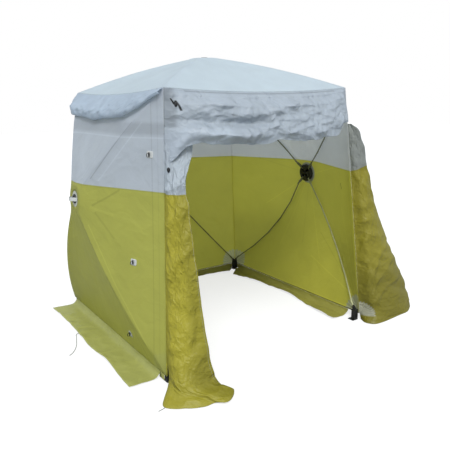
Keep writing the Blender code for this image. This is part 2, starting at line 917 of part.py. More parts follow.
left, right, back = panels[:3]
full = half_side(0) - cover_thickness
ends = (left_skirt_rear_inset - full, full - left_skirt_front_inset)
cloth("skirt_left", skirt_rows(left, 1, ends), yellow_cloth, skirt_thickness, 0)
ends = (skirt_end_inset - full, full - skirt_end_inset)
cloth("skirt_right", skirt_rows(right, -1, ends, 1), yellow_cloth, skirt_thickness, 0)
cloth("skirt_back", skirt_rows(back, -1, ends, -1), yellow_cloth, skirt_thickness, 0)


# Cords: a loose tie cord at the left skirt, and the end of the draw cord in the left drape's hem
tie_cord_route = [
    (-1.0581, 0.165, 0.0148),
    (-1.077, 0.158, 0.0125),
    (-1.089, 0.12, 0.0045),
    (-1.108, 0.065, 0.0028),
    (-1.126, 0.01, 0.0028),
    (-1.148, -0.038, 0.0028),
    (-1.172, -0.078, 0.0028),
    (-1.196, -0.108, 0.0028),
    (-1.221, -0.128, 0.0028),
]
drape_cord_route = [
    (-0.9735, -1.0756, 0.0046),
    (-0.983, -1.081, 0.004),
    (-0.997, -1.086, 0.0035),
    (-1.013, -1.088, 0.0025),
    (-1.03, -1.092, 0.0025),
]
cords = []
for name, route, points, diameter in (
    ("tie_cord", tie_cord_route, 26, tie_cord_diameter),
    ("drape_draw_cord", drape_cord_route, 8, drape_cord_diameter),
):
    cords.append(part_from(name, tube(smooth_through(route, points), diameter, 2), grey_cord))


# Hooks: a moulded plate with a curled hook, sewn on the cover for guy lines and the rolled-up curtain
def hook_mesh():
    long, wide, thick = hook_plate
    plate = box((-wide / 2, -long / 2, 0), (wide / 2, long / 2, thick))
    bevel = plate.modifiers.new("Rounded", "BEVEL")
    bevel.width = thick / 4
    bevel.segments = 1
    plate = helper_baked(plate)
    curl = [
        (0, long * 0.25, thick / 2),
        (0, long * 0.25, thick * 3),
        (0, 0, thick * 5),
        (0, -long * 0.3, thick * 4.6),
        (0, -long * 0.42, thick * 3),
        (0, -long * 0.36, thick * 2.2),
    ]
    return combined(plate, [tube(smooth_through(curl, 9), hook_wire, 1)], "UNION")


def seated(point, outwards, up, surface):
    """A place on the cloth whose Z stands out and whose Y runs up it, lifted until the plate clears it."""
    z = outwards.normalized()
    x = up.cross(z).normalized()
    y = z.cross(x)
    lift = 0
    for side in (-1, 0, 1):
        for end in (-1, 0, 1):
            start = point + x * side * hook_plate[1] / 2 + y * end * hook_plate[0] / 2 + z * hook_plate[0]
            hit = surface.ray_cast(start, -z)[0]
            if hit:
                lift = max(lift, (hit - point).dot(z))
    return Matrix.Translation(point + z * (lift + hook_seat)) @ Matrix((x, y, z)).transposed().to_4x4()


def on_wall(panel, u, v):
    spot = panel.world(u, v, panel.cover_at(u, v))
    normal = panel.surface.ray_cast(spot + panel.n, -panel.n)[1]
    return seated(spot, normal, panel.v, panel.surface)


shared_hook = hook_mesh()
hook_shape = shared_hook.data
bpy.data.objects.remove(shared_hook)
for name, (inset, v) in hook_spots.items():
    part(name, hook_shape, black_nylon, on_wall(left, left.half_at(v) - inset, v))
for name, sheet, (inset, drop) in (
    ("header_buckle", header, buckle_spot),
    ("door_hook", drape_left, door_hook_spot),
):
    surface = BVHTree.FromPolygons(
        [vertex.co for vertex in sheet.data.vertices],
        [face.vertices for face in sheet.data.polygons],
    )
    height = eaves_height - drop
    start = Vector((inset - half_side(height), -half_side(height), height)) - Vector(front_left)
    spot, normal = surface.ray_cast(start, Vector(front_left))[:2]
    part(name, hook_shape, black_nylon, seated(spot, normal, Vector((0, 0, 1)), surface))

# The tent stands on its origin, at the middle of its outline without the loose cords
bpy.context.view_layer.update()
graph = bpy.context.evaluated_depsgraph_get()
low = Vector((math.inf, math.inf, math.inf))
high = -low
for piece in parts.objects:
    if piece.type != "MESH" or piece in cords:
        continue
    for corner in piece.evaluated_get(graph).bound_box:
        point = piece.matrix_world @ Vector(corner)
        low = Vector(map(min, low, point))
        high = Vector(map(max, high, point))
base.location = (-(low.x + high.x) / 2, -(low.y + high.y) / 2, -low.z)
print("base at", tuple(round(value, 6) for value in base.location))
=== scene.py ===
"""Photo view of a square pop-up work tent with an open front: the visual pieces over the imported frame.

Lengths are in metres. Shapes are worked out in the tent's own axes, with its middle on the ground as the
origin, and are set down in the frame by adding `middle`. The tent faces -Y.
"""

import math

import bmesh
import bpy
from mathutils import Matrix, Vector, noise
from mathutils.bvhtree import BVHTree
from mathutils.kdtree import KDTree


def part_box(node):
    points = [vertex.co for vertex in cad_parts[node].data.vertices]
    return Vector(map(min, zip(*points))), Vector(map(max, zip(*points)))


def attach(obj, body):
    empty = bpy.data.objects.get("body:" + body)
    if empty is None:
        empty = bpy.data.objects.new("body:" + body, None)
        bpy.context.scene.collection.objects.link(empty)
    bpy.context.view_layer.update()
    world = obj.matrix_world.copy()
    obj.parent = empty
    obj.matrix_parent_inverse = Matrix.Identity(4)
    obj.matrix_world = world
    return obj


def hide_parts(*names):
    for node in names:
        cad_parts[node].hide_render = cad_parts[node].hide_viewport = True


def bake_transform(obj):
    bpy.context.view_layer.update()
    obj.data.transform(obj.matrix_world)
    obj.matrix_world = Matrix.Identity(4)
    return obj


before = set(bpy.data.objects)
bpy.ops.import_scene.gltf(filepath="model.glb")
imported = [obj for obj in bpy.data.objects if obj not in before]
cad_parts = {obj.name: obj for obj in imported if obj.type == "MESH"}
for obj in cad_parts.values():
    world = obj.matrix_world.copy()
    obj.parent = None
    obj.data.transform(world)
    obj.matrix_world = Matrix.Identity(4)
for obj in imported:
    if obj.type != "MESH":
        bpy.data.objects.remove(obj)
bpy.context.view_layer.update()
roof_low, roof_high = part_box("roof_canopy")
middle = Vector(((roof_low.x + roof_high.x) / 2, (roof_low.y + roof_high.y) / 2, 0))


# Camera: a person's eye at 1.68 m, in front of the tent and to its left, turned right and down with a
# slight roll
def placed(name, data):
    """A new object in the scene."""
    made = bpy.data.objects.new(name, data)
    bpy.context.scene.collection.objects.link(made)
    return made


camera_place = Vector((-2.185, -3.5213, 1.681))
camera_turn, camera_dip, camera_roll = 0.5881, 0.227, -0.0154
view_dir = Vector(
    (
        math.sin(camera_turn) * math.cos(camera_dip),
        math.cos(camera_turn) * math.cos(camera_dip),
        -math.sin(camera_dip),
    )
)
level = Vector((math.cos(camera_turn), -math.sin(camera_turn), 0))
upright = level.cross(view_dir)
camera_right = level * math.cos(camera_roll) + upright * math.sin(camera_roll)
camera_up = upright * math.cos(camera_roll) - level * math.sin(camera_roll)
lens = bpy.data.cameras.new("camera")
lens.lens = 42.5
lens.sensor_width = 36
camera = placed("camera", lens)
camera.matrix_world = Matrix.Translation(camera_place + middle) @ (
    Matrix((camera_right, camera_up, -view_dir)).transposed().to_4x4()
)
bpy.context.scene.camera = camera


# Loose cords: a braided polyester tie cord that comes out from under the left skirt, and the end of the
# draw cord in the left drape's hem. Each lies slack on the ground, and its end is cut and heat-sealed.
def linear(code):
    """The linear colour of an sRGB hex code."""
    shares = [int(code[at : at + 2], 16) / 255 for at in (0, 2, 4)]
    return (*(s / 12.92 if s <= 0.04045 else ((s + 0.055) / 1.055) ** 2.4 for s in shares), 1)


def node(tree, kind, links, **settings):
    """A new node with its settings, its values and its links, from sockets or from nodes' first outputs."""
    made = tree.nodes.new(kind)
    for key, value in settings.items():
        setattr(made, key, value)
    for key, value in links.items():
        if isinstance(value, bpy.types.Node):
            value = value.outputs[0]
        if isinstance(value, bpy.types.NodeSocket):
            tree.links.new(value, made.inputs[key])
        else:
            made.inputs[key].default_value = value
    return made


def new_material(name):
    made = bpy.data.materials.new(name)
    made.use_nodes = True
    made.node_tree.nodes.clear()
    return made, made.node_tree


def grained(name, dark, light, roughness, depth, sizes, kind="ShaderNodeTexNoise", **settings):
    """A material whose colour, and whose height if it has a depth, follow one fine pattern."""
    made, tree = new_material(name)
    spot = node(tree, "ShaderNodeTexCoord", {}).outputs["Object"]
    pattern = node(tree, kind, {"Vector": spot, **sizes}, **settings).outputs["Fac"]
    tint = node(tree, "ShaderNodeMix", {0: pattern, 6: linear(dark), 7: linear(light)}, data_type="RGBA")
    looks = {"Base Color": tint.outputs[2], "Roughness": roughness}
    if depth:
        looks["Normal"] = node(tree, "ShaderNodeBump", {"Height": pattern, "Distance": depth})
    shader = node(tree, "ShaderNodeBsdfPrincipled", looks)
    node(tree, "ShaderNodeOutputMaterial", {"Surface": shader})
    return made


# Braided polyester is matt, and its strands cross every 1.1 mm
braid = grained("braided_polyester", "62665f", "8a8d87", 0.8, 0.0006, {"Scale": 900.0, "Detail": 2.0})


def smooth_through(points, count):
    """Count points, evenly spread, on a Catmull-Rom curve through the points given."""
    points = [Vector(point) for point in points]
    ends = [points[0] * 2 - points[1], *points, points[-1] * 2 - points[-2]]
    found = []
    for step in range(count):
        at = step / (count - 1) * (len(points) - 1)
        span = min(int(at), len(points) - 2)
        t = at - span
        a, b, c, d = ends[span : span + 4]
        found.append(
            (b * 2 + (c - a) * t + (a * 2 - b * 5 + c * 4 - d) * t**2 + (b * 3 - a - c * 3 + d) * t**3) / 2
        )
    return found


def round_line(name, points, thickness):
    """A round cord or wire through the points, with closed ends."""
    curve = bpy.data.curves.new(name, "CURVE")
    curve.dimensions = "3D"
    curve.bevel_depth = thickness / 2
    curve.bevel_resolution = 3
    curve.use_fill_caps = True
    spline = curve.splines.new("POLY")
    spline.points.add(len(points) - 1)
    for place, point in zip(spline.points, points):
        place.co = (*point, 1)
    return placed(name, curve)


tie_cord_route = [
    (-1.0581, 0.165, 0.0148),
    (-1.077, 0.158, 0.0125),
    (-1.089, 0.12, 0.0045),
    (-1.108, 0.065, 0.0028),
    (-1.126, 0.01, 0.0028),
    (-1.148, -0.038, 0.0028),
    (-1.172, -0.078, 0.0028),
    (-1.196, -0.108, 0.0028),
    (-1.221, -0.128, 0.0028),
]
drape_cord_route = [
    (-0.9735, -1.0756, 0.0046),
    (-0.983, -1.081, 0.004),
    (-0.997, -1.086, 0.0035),
    (-1.013, -1.088, 0.0025),
    (-1.03, -1.092, 0.0025),
]
for name, diameter, route in (
    ("tie_cord", 0.0045, tie_cord_route),
    ("drape_draw_cord", 0.004, drape_cord_route),
):
    points = [point + middle for point in smooth_through(route, 40)]
    cord = round_line(name + "_line", points, diameter)
    cord.data.materials.append(braid)
    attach(cord, "root")
    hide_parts(name)

# Corner brackets and hubs: moulded in black glass-filled nylon, with a pin for each rod. The brackets are
# held in the tent's corners, and each hub rides on its own body. Moulded nylon has a fine satin grain,
# rubbed duller in places.
nylon, tree = new_material("moulded_nylon")
spot = node(tree, "ShaderNodeTexCoord", {}).outputs["Object"]
grain = node(tree, "ShaderNodeTexNoise", {"Vector": spot, "Scale": 350.0, "Detail": 3.0})
wear = node(tree, "ShaderNodeTexNoise", {"Vector": spot, "Scale": 40.0, "Detail": 4.0})
rough = node(tree, "ShaderNodeMapRange", {"Value": wear, "To Min": 0.35, "To Max": 0.6})
rise = node(tree, "ShaderNodeBump", {"Height": grain, "Distance": 0.0003, "Strength": 0.5})
looks = {"Base Color": linear("101112"), "Roughness": rough, "Normal": rise}
shader = node(tree, "ShaderNodeBsdfPrincipled", looks)
node(tree, "ShaderNodeOutputMaterial", {"Surface": shader})


def finish_nodes(starts, finish):
    """The finish on every CAD node whose name starts so."""
    for name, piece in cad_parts.items():
        if name.startswith(starts):
            piece.data.materials.clear()
            piece.data.materials.append(finish)


finish_nodes(("corner_bracket", "hub_"), nylon)

# Rods: pultruded glass fibre, 10.5 mm thick, pressed into a ferrule at each end. Each rides on its own
# body. The resin is grey-green and slightly glossy, and mottled by its fibres every 8 mm or so.
glass = grained("pultruded_glass_fibre", "5d5f46", "7a7c5e", 0.35, 0, {"Scale": 120.0, "Detail": 4.0})
finish_nodes("rod_", glass)

# The rod in the sleeve beside the opening shows the sleeve's pale polyester, with its threads drawn coarse,
# 4 mm apart, so that they show
sleeve = grained("sleeved_rod", "96976c", "b5b68e", 0.7, 0.0004, {"Scale": 260.0, "Detail": 2.0})
finish_nodes("rod_right_fr_bottom", sleeve)

# Hub patches and pull straps: a disc of grey-white laminate inside each cover's middle, and a loop of
# white polyester webbing over each cap, with ribs every 3 mm across it
laminate = grained("laminated_patch", "a2a499", "bfc1b6", 0.6, 0.0003, {"Scale": 300.0, "Detail": 2.0})
finish_nodes("hub_patch", laminate)
webbing = grained(
    "polyester_webbing",
    "a3a6a4",
    "c6c9c7",
    0.7,
    0.0004,
    {"Scale": 105.0, "Distortion": 0.5},
    kind="ShaderNodeTexWave",
    bands_direction="Z",
)
finish_nodes("pull_strap", webbing)

# Wall covers and roof cover: one sheet each of PVC-coated polyester, sewn at its edges to its neighbours
# and stretched by its hub over the four rods. Each wall is white above the seam at 1.17 m and yellow below
# it. The cloth is thin enough to let a fifth of the daylight through, so the inside glows.
foot_side, eaves_side, eaves_height, roof_rise = 1.71, 1.466, 1.77, 0.23
hem_height, seam_height = 0.05, 1.17
lean_slope = (foot_side - eaves_side) / 2 / eaves_height
lean = math.atan(lean_slope)
hub_height, wall_pop, eaves_sag = 1.04, 0.276, 0.027
ridge_bows = {
    "left": (0.05, 0.02, 0.012, 0.012),
    "right": (0.02, 0.06, 0.012, 0.012),
    "back": (0.012, 0.012, 0.012, 0.012),
    "roof": (0.02, 0.02, 0.02, 0.02),
}
sagging_rods = {("left", 1): 0.045, ("right", 1): 0.05}
sag_start, sag_end_inset = 0.13, 0.104
cover_inset, cover_flat, cover_hole, cover_thickness = 0.0013, 0.1, 0.055, 0.0008
pin_inset, pin_circle = 0.07, 0.06
cover_crumple = 0.0009
# What is added to a sheet's marks so that all of it lies above the seam and is white
above_seam = 5


def drawn_lines(tree, place, lines):
    """The sum of soft-edged lines on the cloth. A line is (half its width, its strength, its points)."""
    total = None
    for half, strength, points in lines:
        nearest = None
        for start, end in zip(points, points[1:]):
            along = Vector(end) - Vector(start)
            way = along.normalized()
            out = node(tree, "ShaderNodeVectorMath", {0: place, 1: (*start, 0)}, operation="SUBTRACT")
            dots = [
                node(tree, "ShaderNodeVectorMath", {0: out, 1: (*turn, 0)}, operation="DOT_PRODUCT")
                for turn in (way, (-way.y, way.x))
            ]
            ahead, beside = (dot.outputs["Value"] for dot in dots)
            ahead = node(tree, "ShaderNodeMath", {0: ahead, 1: along.length / 2}, operation="SUBTRACT")
            ahead = node(tree, "ShaderNodeMath", {0: ahead}, operation="ABSOLUTE")
            ahead = node(tree, "ShaderNodeMath", {0: ahead, 1: along.length / 2}, operation="SUBTRACT")
            beside = node(tree, "ShaderNodeMath", {0: beside}, operation="ABSOLUTE")
            gap = node(tree, "ShaderNodeMath", {0: ahead, 1: beside}, operation="MAXIMUM")
            if nearest:
                gap = node(tree, "ShaderNodeMath", {0: gap, 1: nearest}, operation="MINIMUM")
            nearest = gap
        fading = {"From Min": half * 0.4, "From Max": half, "To Min": strength, "To Max": 0.0}
        mask = node(
            tree, "ShaderNodeMapRange", {"Value": nearest, **fading}, interpolation_type="SMOOTHSTEP"
        )
        total = node(tree, "ShaderNodeMath", {0: mask, 1: total}) if total else mask
    return total


def corner_fan(tree, place, fan, base, height):
    """The colour and the height of a cloth with a pleated white-grey patch in each lower corner."""
    radius, strength, corner_across = fan
    corner = (corner_across, hem_height, 0)
    folded = node(tree, "ShaderNodeVectorMath", {0: place}, operation="ABSOLUTE")
    away = node(tree, "ShaderNodeVectorMath", {0: folded, 1: corner}, operation="SUBTRACT")
    distance = node(tree, "ShaderNodeVectorMath", {0: away}, operation="LENGTH").outputs["Value"]
    across, up, _ = node(tree, "ShaderNodeSeparateXYZ", {0: away}).outputs
    turn = node(tree, "ShaderNodeMath", {0: up, 1: across}, operation="ARCTAN2")
    pleats = node(tree, "ShaderNodeMath", {0: turn, 1: 34.0}, operation="MULTIPLY")
    pleats = node(tree, "ShaderNodeMath", {0: pleats}, operation="SINE")
    ragged = node(tree, "ShaderNodeMath", {0: pleats, 1: 0.007, 2: distance}, operation="MULTIPLY_ADD")
    upwards = node(tree, "ShaderNodeMapRange", {"Value": up, "From Min": -0.014, "From Max": -0.004})
    fading = {"From Min": radius - 0.006, "From Max": radius, "To Min": strength, "To Max": 0.0}
    patch = node(tree, "ShaderNodeMapRange", {"Value": ragged, **fading})
    patch = node(tree, "ShaderNodeMath", {0: patch, 1: upwards}, operation="MULTIPLY")
    # The pleats are painted lighter and darker by turns: painted shade and highlight on each pleat
    shades = {"From Min": -1.0, "To Min": 0.8, "To Max": 1.05}
    pale = node(tree, "ShaderNodeMapRange", {"Value": pleats, **shades})
    white = node(tree, "ShaderNodeVectorMath", {0: linear("dadccf")[:3], "Scale": pale}, operation="SCALE")
    base = node(tree, "ShaderNodeMix", {0: patch, 6: base, 7: white}, data_type="RGBA").outputs[2]
    pleats = node(tree, "ShaderNodeMath", {0: pleats, 1: patch}, operation="MULTIPLY")
    pleats = node(tree, "ShaderNodeMath", {0: pleats, 1: 0.0012}, operation="MULTIPLY")
    return base, node(tree, "ShaderNodeMath", {0: pleats, 1: height})


def coated_cloth(name, upper, lower, glow, crumple, lines=(), fan=None, split=seam_height, facets=None):
    """PVC-coated polyester: satin, with a fine weave drawn four times its real 1 mm so that it shows.

    The colours are those above and below the split. Glow is the share of the light that goes through, and
    crumple is the depth of the creases in the coating. A fan is a patch in each lower corner, as (radius,
    strength, how far the corner is from the middle). Facets are the flat faces of crushed cloth, with
    straight ridges between them, as (how many in a metre, depth).
    """
    made, tree = new_material(name)
    place = node(tree, "ShaderNodeUVMap", {}).outputs[0]
    up = node(tree, "ShaderNodeSeparateXYZ", {0: place}).outputs[1]
    seam = {"From Min": split - 0.0015, "From Max": split + 0.0015}
    above = node(tree, "ShaderNodeMapRange", {"Value": up, **seam})
    clouds = {"Scale": 5.0, "Detail": 6.0, "Roughness": 0.6}
    mottle = node(tree, "ShaderNodeTexNoise", {"Vector": place, **clouds})
    shade = node(tree, "ShaderNodeMapRange", {"Value": mottle, "To Min": 0.9, "To Max": 1.1})
    drawn = drawn_lines(tree, place, [(0.007, -0.1, [(-2, split - 0.004), (2, split - 0.004)]), *lines])
    lit = node(tree, "ShaderNodeMath", {0: drawn, 1: 1.0})
    shade = node(tree, "ShaderNodeMath", {0: shade, 1: lit}, operation="MULTIPLY")
    base = node(tree, "ShaderNodeMix", {0: above, 6: linear(lower), 7: linear(upper)}, data_type="RGBA")
    base = base.outputs[2]
    height = node(tree, "ShaderNodeMath", {0: drawn, 1: 0.001}, operation="MULTIPLY")
    if fan:
        base, height = corner_fan(tree, place, fan, base, height)
    colour = node(tree, "ShaderNodeVectorMath", {0: base, "Scale": shade}, operation="SCALE")
    if facets:
        count, deep = facets
        warp = node(tree, "ShaderNodeTexNoise", {"Vector": place, "Scale": count * 0.7, "Detail": 3.0})
        wander = {0: warp.outputs["Color"], 1: (1.6 / count,) * 3, 2: place}
        bent = node(tree, "ShaderNodeVectorMath", wander, operation="MULTIPLY_ADD")
        for finer, turn in ((1, 0.5), (2.2, 1.9)):
            turned = node(
                tree, "ShaderNodeVectorRotate", {"Vector": bent, "Angle": turn}, rotation_type="Z_AXIS"
            )
            faces = node(
                tree,
                "ShaderNodeTexVoronoi",
                {"Vector": turned, "Scale": count * finer},
                voronoi_dimensions="2D",
                distance="MANHATTAN",
            )
            height = node(
                tree, "ShaderNodeMath", {0: faces, 1: deep / finer, 2: height}, operation="MULTIPLY_ADD"
            )
    crush = {"Scale": 30.0, "Detail": 5.0, "Roughness": 0.55}
    weave = {"Scale": 260.0, "Detail": 2.0}
    for sizes, depth in ((crush, crumple), (weave, 0.0001)):
        texture = node(tree, "ShaderNodeTexNoise", {"Vector": place, **sizes})
        height = node(tree, "ShaderNodeMath", {0: texture, 1: depth, 2: height}, operation="MULTIPLY_ADD")
    rise = node(tree, "ShaderNodeBump", {"Height": height, "Distance": 1.0})
    looks = {"Base Color": colour, "Roughness": 0.5, "Normal": rise}
    front = node(tree, "ShaderNodeBsdfPrincipled", looks)
    # Light passes a sheet once, but this one has two faces, so each takes the root of the colour
    halfway = node(tree, "ShaderNodeGamma", {"Color": colour, "Gamma": 0.5})
    through = node(tree, "ShaderNodeBsdfTranslucent", {"Color": halfway, "Normal": rise})
    both = node(tree, "ShaderNodeMixShader", {0: glow, 1: front, 2: through})
    node(tree, "ShaderNodeOutputMaterial", {"Surface": both})
    return made


def half_side(height):
    return foot_side / 2 - lean_slope * height


class Panel:
    """A wall or the roof in its own axes: u along it, v up it and n outwards, with its hub at (0, hub_v)."""

    def __init__(self, name, origin, u, v, low, high, hub_v, rise):
        self.name, self.origin, self.u, self.v = name, Vector(origin), Vector(u), Vector(v).normalized()
        self.n = self.u.cross(self.v)
        (self.low_half, self.low_v), (self.high_half, self.high_v) = low, high
        self.hub_v, self.rise = hub_v, rise
        self.corners = [
            Vector((-self.low_half, self.low_v)),
            Vector((self.low_half, self.low_v)),
            Vector((self.high_half, self.high_v)),
            Vector((-self.high_half, self.high_v)),
        ]

    def world(self, u, v, w):
        return self.origin + self.u * u + self.v * v + self.n * w

    def edge_point(self, side, share):
        """A point of the cover's edge as (u, v, w), with share from -1 to 1 along that side."""
        flat = self.corners[side].lerp(self.corners[(side + 1) % 4], (share + 1) / 2)
        dip = eaves_sag * (1 - share**2)
        if self.name == "roof":
            flat = flat + Vector(((0, -1), (1, 0), (0, 1), (-1, 0))[side]) * dip * lean_slope
            return flat.x, flat.y, -dip
        if side == 2:
            flat.y -= dip / math.cos(lean)
        return flat.x, flat.y, 0.0

    def nearest(self, side, share):
        return side if share < 0 else (side + 1) % 4

    def sideways(self, radius, reach, side, share):
        """How far the cover is drawn to the side, at a radius from the hub's axis, by the rod below it."""
        at = self.nearest(side, share)
        along = self.corners[at] - Vector((0, self.hub_v))
        way = min(1, max(0, (radius - sag_start) / (reach - sag_end_inset - sag_start)))
        down = Vector((along.y, -along.x)).normalized()
        return down * sagging_rods.get((self.name, at), 0) * 4 * way * (1 - way) * share**2

    def height(self, radius, reach, side, share, edge_level):
        """How far the cover stands out at a radius from the hub's axis, on the way to an edge at a reach."""
        if radius <= cover_flat:
            return self.rise
        way = (radius - cover_flat) / (reach - cover_flat)
        bow = ridge_bows[self.name][self.nearest(side, share)]
        return self.rise * (1 - way) + edge_level * way + bow * 4 * way * (1 - way) * share**2

    def stands_out(self, u, v):
        """How far the smooth cover stands out at (u, v)."""
        out = Vector((u, v - self.hub_v))
        for side in range(4):
            a, b = (self.corners[(side + more) % 4] - Vector((0, self.hub_v)) for more in (0, 1))
            cross = a.x * b.y - a.y * b.x
            toward_a = (out.x * b.y - out.y * b.x) / cross
            toward_b = (a.x * out.y - a.y * out.x) / cross
            if toward_a >= 0 and toward_b >= 0 and toward_a + toward_b > 0:
                whole = toward_a + toward_b
                return self.height(out.length, out.length / whole, side, 2 * toward_b / whole - 1, 0)
        return self.rise


def wall(name, outwards):
    outwards = Vector(outwards)
    top = eaves_height - cover_inset
    return Panel(
        name,
        outwards * (foot_side / 2),
        Vector((0, 0, 1)).cross(outwards),
        Vector((0, 0, 1)) - outwards * lean_slope,
        (half_side(hem_height) - cover_inset, hem_height / math.cos(lean)),
        (half_side(top) - cover_inset, top / math.cos(lean)),
        hub_height / math.cos(lean),
        wall_pop,
    )


def cloth(name, rows, marks, finishes, thickness, offset=-1, closed=False):
    """A sheet through rows of points, mapped by rows of marks in metres, thickened on its inner side."""
    wide = len(rows[0])
    faces = []
    for start in range(0, (len(rows) - 1) * wide, wide):
        for at in range(wide if closed else wide - 1):
            after = (at + 1) % wide
            faces.append((start + at, start + wide + at, start + wide + after, start + after))
    mesh = bpy.data.meshes.new(name)
    mesh.from_pydata([point + middle for row in rows for point in row], [], faces)
    flat = [mark for row in marks for mark in row]
    layer = mesh.uv_layers.new(name="UVMap")
    for loop in mesh.loops:
        layer.data[loop.index].uv = flat[loop.vertex_index]
    for finish in finishes:
        mesh.materials.append(finish)
    mesh.shade_smooth()
    piece = placed(name, mesh)
    shell = piece.modifiers.new("Thickness", "SOLIDIFY")
    shell.thickness = thickness
    shell.offset = offset
    shell.material_offset = len(finishes) - 1
    return piece


def follow_weight(spot, reach, share):
    """How far a point of a cover follows its hub, in step with the rods below it."""
    last = reach - pin_inset * share**4
    return min(1, max(0, (last - spot.length) / (last - pin_circle)))


# The places on the left wall that stay smooth under a hook: in from the front edge, and up the wall
hook_spots = [(0.1, 1.387), (0.24, 0.715), (0.431, 0.175)]
# How deep the slack is: in broad ripples, in the soft and the sharp creases that run out from the hub, and
# in the puckers at the sewn edges
ripples, soft_creases, sharp_creases, puckers = 0.007, 0.0018, 0.0026, 0.0016


def calm_near(point, place):
    """From 0 at 3 cm from a place on a sheet to 1 at 11 cm from it, so that a hook lies on it."""
    return min(1, max(0, ((point - place).length - 0.03) / 0.08))


def slack(panel, spot, share, way, seed):
    """Soft ripples of the stretched cloth: broad ones, creases from the hub and puckers at the sewn edges."""
    free = 4 * way * (1 - way)
    turn = math.atan2(spot.y, spot.x)
    broad = noise.noise(Vector((spot.x * 2.6, spot.y * 2.6, seed))) * ripples * free * (1 - share**2)
    radial = noise.noise(Vector((turn * 9, spot.length * 1.3, seed + 7))) * soft_creases * free
    radial += max(0, noise.noise(Vector((turn * 22, spot.length * 2.0, seed + 3)))) * sharp_creases * free
    pucker = noise.noise(Vector((spot.x * 24, spot.y * 24, seed + 11))) * puckers * way**8 * (1 - way) * 12
    calm = 1
    if panel.name == "left":
        for inset, v in hook_spots:
            calm = min(calm, calm_near(Vector((half_side(v) - inset, v - panel.hub_v)), spot))
    return (broad + radial + pucker) * calm


front_edge = [(half_side(height), height) for height in (hem_height, 1.75)]
lower_sleeves = [(0.006, -0.2, [(side * 0.09, 0.95), (side * 0.82, 0.08)]) for side in (-1, 1)]
outside_lines = {
    "left": [
        # The vent band below the hood, darkened as painted shade from the hood, and the seam under it
        (0.052, -0.2, [(-0.8, 1.535), (0.8, 1.535)]),
        (0.006, 0.12, [(-0.8, 1.483), (0.8, 1.483)]),
        # Painted shade and painted highlights beside the ridges where the cloth lies over the rods
        (0.005, -0.3, [(0.191, 1.213), (0.35, 1.392), (0.512, 1.571)]),
        (0.006, 0.12, [(0.263, 1.205), (0.592, 1.572)]),
        (0.006, -0.28, [(0.034, 0.97), (0.21, 0.734), (0.428, 0.434), (0.63, 0.05)]),
        (0.007, 0.15, [(0.173, 0.901), (0.426, 0.542), (0.556, 0.385), (0.771, 0.116)]),
        (0.008, 0.12, [(-0.08, 0.98), (-0.78, 0.12)]),
        # Painted highlight and painted shade on creases that run out from the hub
        (0.012, 0.08, [(0.198, 1.025), (0.386, 0.993)]),
        (0.009, -0.18, [(0.216, 1.04), (0.325, 1.096), (0.429, 1.155)]),
        (0.01, -0.13, [(0.242, 0.99), (0.319, 0.92), (0.397, 0.846)]),
        # The folded strip along the front edge
        (0.005, -0.16, [(u - 0.088, v) for u, v in front_edge]),
        (0.004, -0.1, [(u - 0.045, v) for u, v in front_edge]),
    ],
    "right": lower_sleeves,
    "back": lower_sleeves,
    "roof": [],
}
# Painted highlights and painted shade on creases that fan out from the corner bracket and from the hub
corner_crease_shading = [
    (0.0045, strength, [(-0.8, 0.14), end])
    for strength, end in (
        (0.13, (-0.21, 0.36)),
        (-0.12, (-0.27, 0.57)),
        (0.13, (-0.4, 0.72)),
        (-0.12, (-0.53, 0.62)),
        (0.13, (-0.6, 0.85)),
        (0.1, (-0.71, 0.95)),
    )
]
hub_crease_shading = [
    (0.0045, strength, [(r * math.cos(turn), hub_height + r * math.sin(turn)) for r in (0.09, far)])
    for strength, turn, far in (
        (0.12, -0.6, 0.55),
        (-0.12, -0.95, 0.62),
        (0.12, -1.25, 0.7),
        (-0.1, -1.7, 0.6),
        (0.12, -2.0, 0.75),
        (-0.1, 0.25, 0.5),
        (0.1, 2.9, 0.5),
    )
]
hem_lines = [
    (0.0045, -0.5, [(-0.86, hem_height + 0.004), (0.86, hem_height + 0.004)]),
    (0.005, 0.2, [(-0.86, hem_height + 0.014), (0.86, hem_height + 0.014)]),
]
inside_lines = {
    "left": hem_lines,
    "right": [
        *hem_lines,
        # The webbing beside the front edge, and two loops for ties
        (0.012, 0.3, [(0.02 - half_side(1.16), 1.16), (0.02 - half_side(0.23), 0.23)]),
        (0.005, -0.6, [(-0.6, 1.049), (-0.613, 1.011)]),
        (0.005, -0.6, [(-0.562, 0.431), (-0.574, 0.383)]),
        *corner_crease_shading,
        *hub_crease_shading,
        # Painted shade over the lower part, and painted light on a patch higher up
        (0.6, -0.15, [(-0.9, 0.2), (0.9, 0.2)]),
        (0.5, 0.1, [(0.35, 1.0), (0.75, 0.9)]),
    ],
    "back": [*hem_lines, *hub_crease_shading],
    "roof": [],
}
panels = {
    "left": wall("left", (-1, 0, 0)),
    "right": wall("right", (1, 0, 0)),
    "back": wall("back", (0, 1, 0)),
    "roof": Panel(
        "roof",
        (0, 0, eaves_height),
        (1, 0, 0),
        (0, 1, 0),
        (eaves_side / 2, -eaves_side / 2),
        (eaves_side / 2, eaves_side / 2),
        0.0,
        roof_rise,
    ),
}


def follow_hub(piece, panel):
    """Bake a piece's placement into its mesh."""
    edge = panel.world(0, panel.low_v, 0) + middle
    hub = panel.world(0, panel.hub_v, panel.rise) + middle
    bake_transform(piece)


